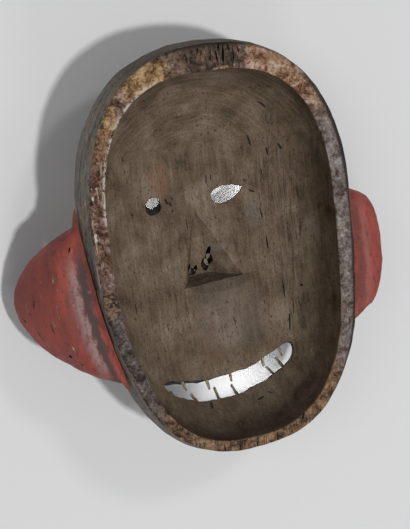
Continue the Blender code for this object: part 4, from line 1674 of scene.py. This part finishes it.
@dataclass(frozen=True)
class HollowWood:
    """Bare olive-brown wood of the hollow, darkened by handling, with its grain along Y, and painted shade
    toward the chin and under the nose pit's base.
    """

    dark: Color = (0.034, 0.023, 0.015)
    deep: Color = (0.104, 0.072, 0.045)
    plain: Color = (0.16, 0.114, 0.077)
    pale: Color = (0.255, 0.2, 0.15)
    red: Color = (0.21, 0.098, 0.056)
    ash: Color = (0.18, 0.16, 0.148)

    def color(self, shader: Shader) -> tuple[bpy.types.NodeSocket, Value]:
        """Its colour and relief.

        Args:
            shader: the material to build in.

        Returns:
            The colour, and the relief from 0 to 1.
        """
        _, y, _ = shader.axes()
        streak = shader.grain((0.0028, 0.026, 0.006), 4.0, 0.6, 0.0, 0.5)
        arcs = shader.grain((0.0016, 0.03, 0.005), 4.0, 0.55, 1.0, 0.3, shader.round_place(0.035))
        cloud = shader.grain(0.024, 5.0, 0.58, 3.0, 0.3)
        fine = shader.grain(0.001, 3.0, 0.6, 5.0)
        forehead = (y + (cloud - 0.5) * 0.05).step(0.062, 0.085)
        marks = arcs * forehead + streak * (1 - forehead)
        tone = marks * 0.27 + cloud * 0.5 + fine * 0.27
        color = shader.ramp(tone, ((0.38, self.dark), (0.45, self.deep), (0.54, self.plain),
                                   (0.66, self.pale)))
        fray = (cloud - 0.5) * 2.2
        warm = shader.spot((-0.026, 0.053), (0.009, 0.013), fray).most(
            shader.spot((0.0, -0.08), (0.01, 0.014), fray) * 0.5)
        color = shader.mix(warm * 0.45, color, self.red)
        smudge = shader.spot((0.046, 0.0165), (0.006, 0.011), fray) * fine.step(0.35, 0.6)
        smear = shader.spot((0.0156, -0.0065), (0.0065, 0.0035), fray)
        grey = shader.spot((0.015, -0.06), (0.026, 0.03), fray) * 0.35
        worn = shader.grain((0.0013, 0.03, 0.004), 4.0, 0.6, 2.0).step(0.52, 0.66)
        fibrous = shader.spot((0.062, 0.0), (0.013, 0.085), fray) * worn
        color = shader.mix(smudge.most(smear).most(grey) * 0.6, color, self.ash)
        color = shader.mix(fibrous * 0.55, color, self.pale)
        gaps = shader.grain((0.001, 0.022, 0.004), 3.0, 0.6, 14.0).step(0.57, 0.64)
        split = shader.spot((0.064, 0.0), (0.017, 0.09), fray) * gaps
        color = shader.mix(split * 0.6, color, self.dark)
        nick = shader.grain((0.0012, 0.0034, 0.002), 3.0, 0.6, 9.0, 0.4).step(0.61, 0.67)
        nick = nick * (cloud.step(0.44, 0.6) * 0.6 + 0.4)
        color = shader.mix(nick * 0.8, color, self.dark)
        light = shader.grain((0.0012, 0.003, 0.002), 2.0, 0.5, 19.0).step(0.64, 0.72)
        color = shader.mix(light * 0.35, color, self.pale)
        # Painted shade: the wood is darkened toward the chin wall and under the nose pit's overhanging base.
        painted_shade = (y + fray * 0.008).step(-0.1, -0.124) * 0.4
        painted_shade = painted_shade.most(shader.spot((0.012, -0.0345), (0.024, 0.0065), fray * 0.3) * 0.4)
        color = shader.mix(painted_shade, color, self.dark)
        return color, marks * 0.2 + fine * 0.4 - nick * 0.5 + 0.3


@dataclass(frozen=True)
class RimWood:
    """The worn rim: speckled rust, ochre, lilac grey and dark dirt, each where it shows."""

    left: tuple[Color, ...] = ((0.028, 0.016, 0.011), (0.13, 0.062, 0.036), (0.265, 0.175, 0.145),
                               (0.52, 0.43, 0.36))
    gold: tuple[Color, ...] = ((0.055, 0.03, 0.018), (0.215, 0.115, 0.052), (0.42, 0.275, 0.135),
                               (0.64, 0.49, 0.29))
    top: tuple[Color, ...] = ((0.014, 0.01, 0.008), (0.068, 0.042, 0.028), (0.14, 0.09, 0.06),
                              (0.27, 0.2, 0.14))
    top_right: tuple[Color, ...] = ((0.085, 0.038, 0.022), (0.27, 0.14, 0.075), (0.45, 0.32, 0.24),
                                    (0.62, 0.51, 0.44))
    right: tuple[Color, ...] = ((0.048, 0.034, 0.028), (0.13, 0.098, 0.084), (0.24, 0.205, 0.195),
                                (0.4, 0.36, 0.34))
    bottom: tuple[Color, ...] = ((0.028, 0.017, 0.01), (0.135, 0.074, 0.04), (0.27, 0.162, 0.092),
                                 (0.43, 0.305, 0.19))
    left_low: tuple[Color, ...] = ((0.018, 0.014, 0.013), (0.07, 0.05, 0.042), (0.135, 0.11, 0.105),
                                   (0.3, 0.25, 0.23))
    orange: Color = (0.29, 0.16, 0.085)
    white: Color = (0.6, 0.54, 0.48)
    edge: Color = (0.016, 0.014, 0.012)

    def color(self, shader: Shader) -> tuple[bpy.types.NodeSocket, Value]:
        """Its colour and relief, by place round the rim.

        Fine speckle picks the shade within each part's own row of four shades. The parts meet
        along frayed borders. The inner edge at the left is worn pale, the outer edge dark.

        Args:
            shader: the material to build in.

        Returns:
            The colour, and the relief from 0 to 1.
        """
        x, y, _ = shader.axes()
        speck = shader.grain(0.0019, 5.0, 0.68, 4.0, 0.6)
        patch = shader.grain(0.0075, 4.0, 0.6, 1.0, 0.4)
        tone = speck * 0.5 + patch * 0.54 - 0.02
        fray = (patch - 0.5) * 1.6

        def shades(colors: tuple[Color, ...]) -> bpy.types.NodeSocket:
            """A part's speckled colour."""
            return shader.ramp(tone, tuple(zip((0.4, 0.48, 0.56, 0.68), colors)))

        color = shades(self.left)
        parts = ((self.left_low, (y + fray * 0.02).step(0.01, -0.03) * x.step(0.0, -0.03)),
                 (self.top_right, (y + x * 0.5 + fray * 0.02).step(0.125, 0.15) * x.step(0.024, 0.036)),
                 (self.right, x.step(0.05, 0.075) * (y + fray * 0.03).step(0.105, 0.075)),
                 (self.bottom, (y + fray * 0.02).step(-0.085, -0.115) * x.step(-0.075, -0.055)),
                 (self.gold, shader.spot((-0.047, 0.1316), (0.023, 0.02), fray).most(
                     shader.spot((-0.08, 0.106), (0.009, 0.013), fray))),
                 (self.top, shader.spot((-0.002, 0.143), (0.033, 0.026), fray)))
        for colors, share in parts:
            color = shader.mix(share, color, shades(colors))
        grain = shader.grain((0.0016, 0.01, 0.004), 4.0, 0.65, 3.0, 0.4)
        radial = (y + fray * 0.01).step(-0.118, -0.132).most(
            shader.spot((0.01, 0.143), (0.022, 0.024), fray))
        color = shader.mix(radial * grain.step(0.54, 0.62) * 0.85, color, self.left_low[0])
        amber = shader.spot((-0.088, 0.09), (0.009, 0.012), fray).most(
            shader.spot((-0.093, -0.022), (0.005, 0.012), fray)).most(
            shader.spot((0.056, 0.137), (0.012, 0.007), fray))
        color = shader.mix(amber * tone.step(0.42, 0.54) * 0.7, color, self.orange)
        reach = shader.attribute("Rim_Reach")
        worn = reach.step(0.003, 0.0008) * (y + fray * 0.03).step(0.02, 0.045) * x.step(-0.03, -0.055)
        pale = reach.step(0.0022, 0.0008) * y.step(-0.02, -0.07) * x.step(-0.01, 0.03) * 0.6
        color = shader.mix(worn * tone.step(0.42, 0.54) * 0.85, color, self.white)
        color = shader.mix(pale * tone.step(0.4, 0.52), color, self.orange)
        fleck = shader.grain((0.003, 0.0075, 0.004), 3.0, 0.6, 12.0).step(0.6, 0.66)
        strip = shader.spot((-0.0965, 0.048), (0.0045, 0.042), fray)
        color = shader.mix(strip * fleck * 0.9, color, self.white)
        frayed_mark = reach + (patch - 0.5) * 0.004
        outer = frayed_mark.step(0.0098, 0.0122) * x.step(0.06, 0.085) * 0.9
        outer = outer.most(frayed_mark.step(0.0145, 0.0185) * y.step(0.09, 0.12) * x.step(-0.06, -0.02) * 0.85)
        color = shader.mix(outer, color, self.edge)
        return color, patch * 0.3 + speck * 0.7


@dataclass(frozen=True)
class WornPaint:
    """Thin blue-grey paint on the wall and face, worn to dark wood along the carver's marks."""

    paint: Color = (0.19, 0.19, 0.185)
    olive: Color = (0.25, 0.205, 0.155)
    wood: Color = (0.062, 0.045, 0.034)
    pale: Color = (0.56, 0.51, 0.45)

    def color(self, shader: Shader) -> tuple[bpy.types.NodeSocket, Value]:
        """Its colour and relief: long fine streaks round the wall, over blotches.

        Args:
            shader: the material to build in.

        Returns:
            The colour, and the relief from 0 to 1.
        """
        x, y, _ = shader.axes()
        patch = shader.grain((0.012, 0.02, 0.012), 5.0, 0.6, 2.0)
        streak = shader.grain((0.03, 0.034, 0.0016), 4.0, 0.6, 8.0, 0.3)
        speck = shader.grain((0.003, 0.005, 0.0018), 4.0, 0.65, 5.0)
        color = shader.mix(patch.step(0.4, 0.6), self.olive, self.paint)
        color = shader.mix((streak * 0.6 + speck * 0.4).step(0.5, 0.58) * 0.85, color, self.wood)
        color = shader.mix((streak * 0.5 + speck * 0.5).step(0.43, 0.37) * 0.75, color, self.pale)
        bare = x.step(0.04, 0.08).most((y + x * 0.6).step(0.06, 0.12) * 0.8)
        color = shader.mix(bare * 0.8, color, self.wood)
        return color, patch * 0.2 + streak * 0.4 + speck * 0.4


@dataclass(frozen=True)
class ShellFinish:
    """The whole shell's finish: each part of it by where it lies."""

    hollow: HollowWood = HollowWood()
    rim: RimWood = RimWood()
    outside: WornPaint = WornPaint()
    roughness: float = 0.78
    gloss: float = 0.22
    relief: float = 0.0006

    def material(self) -> bpy.types.Material:
        """Mixes hollow, rim and outside by the attributes that the shell carries."""
        shader = Shader("Aged_Carved_Wood")
        fray = shader.grain(0.004, 3.0, 0.6, 6.0) - 0.5
        rim_share = (shader.attribute("Rim_Reach") + fray * 0.004).step(-0.001, 0.0006)
        outside_share = (shader.attribute("Outside") + fray * 0.8).step(0.35, 0.65)
        color, height = self.hollow.color(shader)
        rim_color, rim_height = self.rim.color(shader)
        wall_color, wall_height = self.outside.color(shader)
        color = shader.mix(rim_share, color, rim_color)
        color = shader.mix(outside_share, color, wall_color)
        height = height * (1 - rim_share) + rim_height * rim_share
        height = height * (1 - outside_share) + wall_height * outside_share
        return shader.finish(color, self.roughness, height, self.relief, Specular_IOR_Level=self.gloss)


@dataclass(frozen=True)
class FibrousWood:
    """Wood in two colours that change along its fibres.

    Attributes:
        name: the material's name.
        fibre: size of a fibre along X, Y and Z.
        dark: colour between the fibres.
        pale: colour of the fibres.
        stops: where in the noise each colour is reached.
        roughness: its roughness.
        relief: depth of its relief.
    """

    name: str
    fibre: Point
    dark: Color
    pale: Color
    stops: tuple[float, float]
    roughness: float
    relief: float

    def material(self) -> bpy.types.Material:
        """Noise drawn out along the fibres, through a ramp from dark to pale."""
        shader = Shader(self.name)
        tone = shader.grain(self.fibre, 4.0, 0.6)
        color = shader.ramp(tone, tuple(zip(self.stops, (self.dark, self.pale))))
        return shader.finish(color, self.roughness, tone, self.relief)


# Painted shade: the near-black wood on the walls of holes, cuts and nicks and on the ears' cut roots stands
# in for the shade inside them.
HOLE_WOOD = FibrousWood("Hole_Wood_Painted_Shade", (0.003, 0.003, 0.01), (0.008, 0.006, 0.005),
                        (0.036, 0.024, 0.017), (0.4, 0.65), 0.8, 0.0005)
CHIP_WOOD = FibrousWood("Chipped_Wood", (0.0012, 0.008, 0.003), (0.17, 0.1, 0.06),
                        (0.42, 0.31, 0.2), (0.38, 0.6), 0.8, 0.0005)
PEG_WOOD = FibrousWood("Whittled_Peg_Wood", (0.0008, 0.004, 0.002), (0.13, 0.09, 0.06),
                       (0.46, 0.39, 0.28), (0.4, 0.56), 0.6, 0.0003)


@dataclass(frozen=True)
class EarPaint:
    """Dull red paint, painted lighter toward the outer part as painted light, worn to grey along the ridge
    with a painted highlight there, and darkened purple in the trough as painted shade.
    """

    red: Color = (0.23, 0.056, 0.044)
    bright: Color = (0.35, 0.074, 0.055)
    dark: Color = (0.09, 0.03, 0.025)
    purple: Color = (0.064, 0.042, 0.041)
    grey: Color = (0.33, 0.265, 0.25)
    roughness: float = 0.62
    gloss: float = 0.25
    relief: float = 0.0005

    def material(self, side: Side) -> bpy.types.Material:
        """Red paint in worn layers, painted lighter toward the outer part as painted light, over a grey
        ridge that is partly worn paint and partly painted highlight, and a purple trough of painted shade.

        Args:
            side: which ear.

        Returns:
            The material.
        """
        shader = Shader(f"Worn_Red_Paint_{side.name.title()}")
        across, along = shader.attribute("Across"), shader.attribute("Along")
        broad = shader.grain((0.018, 0.03, 0.018), 4.0, 0.6, 1.0 + side.value)
        wear = shader.grain((0.004, 0.01, 0.006), 5.0, 0.65, 3.0)
        speck = shader.grain(0.0018, 4.0, 0.65, 5.0)
        color = shader.mix(broad.step(0.38, 0.62), self.red, self.bright)
        # Painted light: the ear's outer part gets a lighter red, standing in for light on the part that
        # falls away from the key light.
        color = shader.mix((across + (wear - 0.5) * 0.5).step(0.35, 0.7) * 0.45, color, self.bright)
        color = shader.mix((wear * 0.6 + speck * 0.4).step(0.53, 0.6) * 0.45, color, self.dark)
        shown = 1.0 if side is Side.LEFT else 0.3
        place = across + (wear - 0.5) * 0.22 + (broad - 0.5) * 0.1
        # Painted shade: the trough between the ridge and the root is darkened to purple, most on the left
        # ear.
        inner = place - along * 0.07
        trough = inner.step(0.0, 0.06) * place.step(0.26, 0.17) * along.step(0.14, 0.32)
        color = shader.mix(trough * (0.92 * shown), color, self.purple)
        # The grey along the ridge is partly worn paint and partly a painted highlight, most on the left ear.
        ridge = place.step(0.18, 0.25) * place.step(0.42, 0.28)
        ridge = ridge * along.step(0.2, 0.36) * along.step(0.95, 0.75)
        frayed_mark = ridge * (speck * 0.6 + wear * 0.4).step(0.36, 0.56)
        color = shader.mix(frayed_mark * (0.75 * shown), color, self.grey)
        length = shader.grain((0.003, 0.03, 0.005), 4.0, 0.62, 21.0).step(0.5, 0.68)
        color = shader.mix(length * 0.25, color, self.purple)
        color = shader.mix((speck * 0.7 + wear * 0.3).step(0.61, 0.67) * 0.9, color, self.dark)
        scuff = shader.grain((0.003, 0.01, 0.005), 3.0, 0.6, 15.0).step(0.66, 0.72)
        color = shader.mix(scuff * 0.45, color, self.grey)
        height = broad * 0.2 + wear * 0.4 + speck * 0.4
        return shader.finish(color, self.roughness, height, self.relief, Specular_IOR_Level=self.gloss)


@dataclass(frozen=True)
class Lamp:
    """A studio light with a flat oblong face.

    Attributes:
        place: where it hangs.
        target: what it looks at.
        size: its width and height.
        power: its power in watts.
        spread: angle of its beam in degrees.
    """

    place: Point
    target: Point
    size: tuple[float, float]
    power: float
    spread: float = 180.0

    def build(self, name: str) -> None:
        """Hangs the light and turns it toward its target."""
        data = bpy.data.lights.new(name, "AREA")
        data.shape = "RECTANGLE"
        data.size, data.size_y = self.size
        data.energy = self.power
        data.spread = math.radians(self.spread)
        lamp = bpy.data.objects.new(name, data)
        lamp.location = self.place
        lamp.rotation_euler = (Vector(self.target) - Vector(self.place)).to_track_quat("-Z", "Y").to_euler()
        bpy.context.scene.collection.objects.link(lamp)


LAMPS = {
    "Key_Light": Lamp((0.38, -0.45, 3.0), (0, 0, 0), (0.2, 0.2), 41.5),
    "Fill_Light": Lamp((1.1, 1.3, 2.4), (0, 0, 0), (0.35, 0.35), 9.0),
    "Front_Light": Lamp((0.1, -1.9, 1.5), (0, 0, 0), (0.5, 0.5), 5.0),
    "Left_Light": Lamp((-1.6, 0.6, 2.0), (0, 0, 0), (0.9, 0.9), 6.0),
    "Chin_Floor_Light": Lamp((0.024, -0.138, 0.031), (0.024, -0.112, 0.0), (0.062, 0.008), 0.0078, 90.0),
    "Left_Eye_Floor_Light": Lamp((-0.078, 0.03, 0.019), (-0.022, 0.031, 0.0), (0.008, 0.008), 0.008, 100.0),
    "Right_Eye_Floor_Light": Lamp((0.086, 0.03, 0.02), (0.038, 0.032, 0.0), (0.008, 0.008), 0.01, 100.0),
}


@dataclass(frozen=True)
class Studio:
    """Floor, lights and camera.

    Attributes:
        focal_pixels: focal length in pixels of the picture.
        picture_width: width of the picture in pixels.
        camera_place: where the camera stands.
        camera_turn: its turns about Z, X and Y, in degrees.
        sensor: width of its sensor in millimetres.
        floor_color: colour of the floor.
        floor_half: half the floor's width.
        sky: strength of the even light.
        sky_color: colour of that light.
    """

    focal_pixels: float = 1300.0
    picture_width: float = 410.0
    camera_place: Point = (-0.3367, 0.156, 0.9523)
    camera_turn: Point = (7.0, 10.0, 20.0)
    sensor: float = 36.0
    floor_color: Color = (0.8, 0.8, 0.805)
    floor_half: float = 4.0
    sky: float = 0.2
    sky_color: Color = (0.97, 0.98, 1.0)

    def camera(self) -> None:
        """Stands the camera where the photograph was taken from.

        Its turn is the inverse of the turns that carry the mask's axes to the camera's.
        """
        data = bpy.data.cameras.new("Camera")
        data.sensor_fit = "HORIZONTAL"
        data.sensor_width = self.sensor
        data.lens = self.focal_pixels * self.sensor / self.picture_width
        about_z, about_x, about_y = (math.radians(turn) for turn in self.camera_turn)
        turn = (Matrix.Rotation(about_z, 3, "Z") @ Matrix.Rotation(about_x, 3, "X")
                @ Matrix.Rotation(about_y, 3, "Y"))
        camera = bpy.data.objects.new("Camera", data)
        camera.matrix_world = Matrix.Translation(self.camera_place) @ turn.transposed().to_4x4()
        bpy.context.scene.collection.objects.link(camera)
        bpy.context.scene.camera = camera

    def floor(self) -> None:
        """Lays a wide pale floor under the mask."""
        half = self.floor_half
        corners = np.array([[-half, -half, 0], [half, -half, 0], [half, half, 0], [-half, half, 0]])
        mesh = mesh_from("Floor", corners, np.array([[0, 1, 2, 3]]))
        shader = Shader("Floor_Paper")
        mesh.materials.append(shader.finish(self.floor_color, 0.9, Specular_IOR_Level=0.1))
        floor = bpy.data.objects.new("Floor", mesh)
        bpy.context.scene.collection.objects.link(floor)

    def lights(self) -> None:
        """Hangs the lights and sets the even light of the room.

        The three small floor lights hang under the mask and light what shows through its holes.
        """
        world = bpy.data.worlds.new("Room_Light")
        world.use_nodes = True
        background = world.node_tree.nodes["Background"]
        background.inputs[0].default_value = (*self.sky_color, 1)
        background.inputs[1].default_value = self.sky
        bpy.context.scene.world = world
        for name, lamp in LAMPS.items():
            lamp.build(name)

    def build(self) -> None:
        """Sets up the whole studio."""
        bpy.context.scene.view_settings.view_transform = "Standard"
        self.camera()
        self.floor()
        self.lights()


def main() -> None:
    """Builds the studio and every piece, and reports each one."""
    logging.basicConfig(level=logging.INFO, format="%(name)s: %(message)s")
    Studio().build()
    hole, chip = HOLE_WOOD.material(), CHIP_WOOD.material()
    shell = MaskShell()
    pieces = [shell.build([ShellFinish().material(), hole, chip])]
    for form in (LEFT_EAR, RIGHT_EAR):
        pieces.append(Ear(form).build([EarPaint().material(form.side), hole, chip]))
    peg = PEG_WOOD.material()
    for row, sizes in ((Row.UPPER, UPPER_TEETH), (Row.LOWER, LOWER_TEETH)):
        for number, size in enumerate(sizes, start=1):
            pieces.append(Tooth(row, number, *size).build(shell.mouth, peg))
    for piece in pieces:
        LOG.info("%s: %d faces", piece.name, len(piece.data.polygons))


if __name__ == "__main__":
    main()
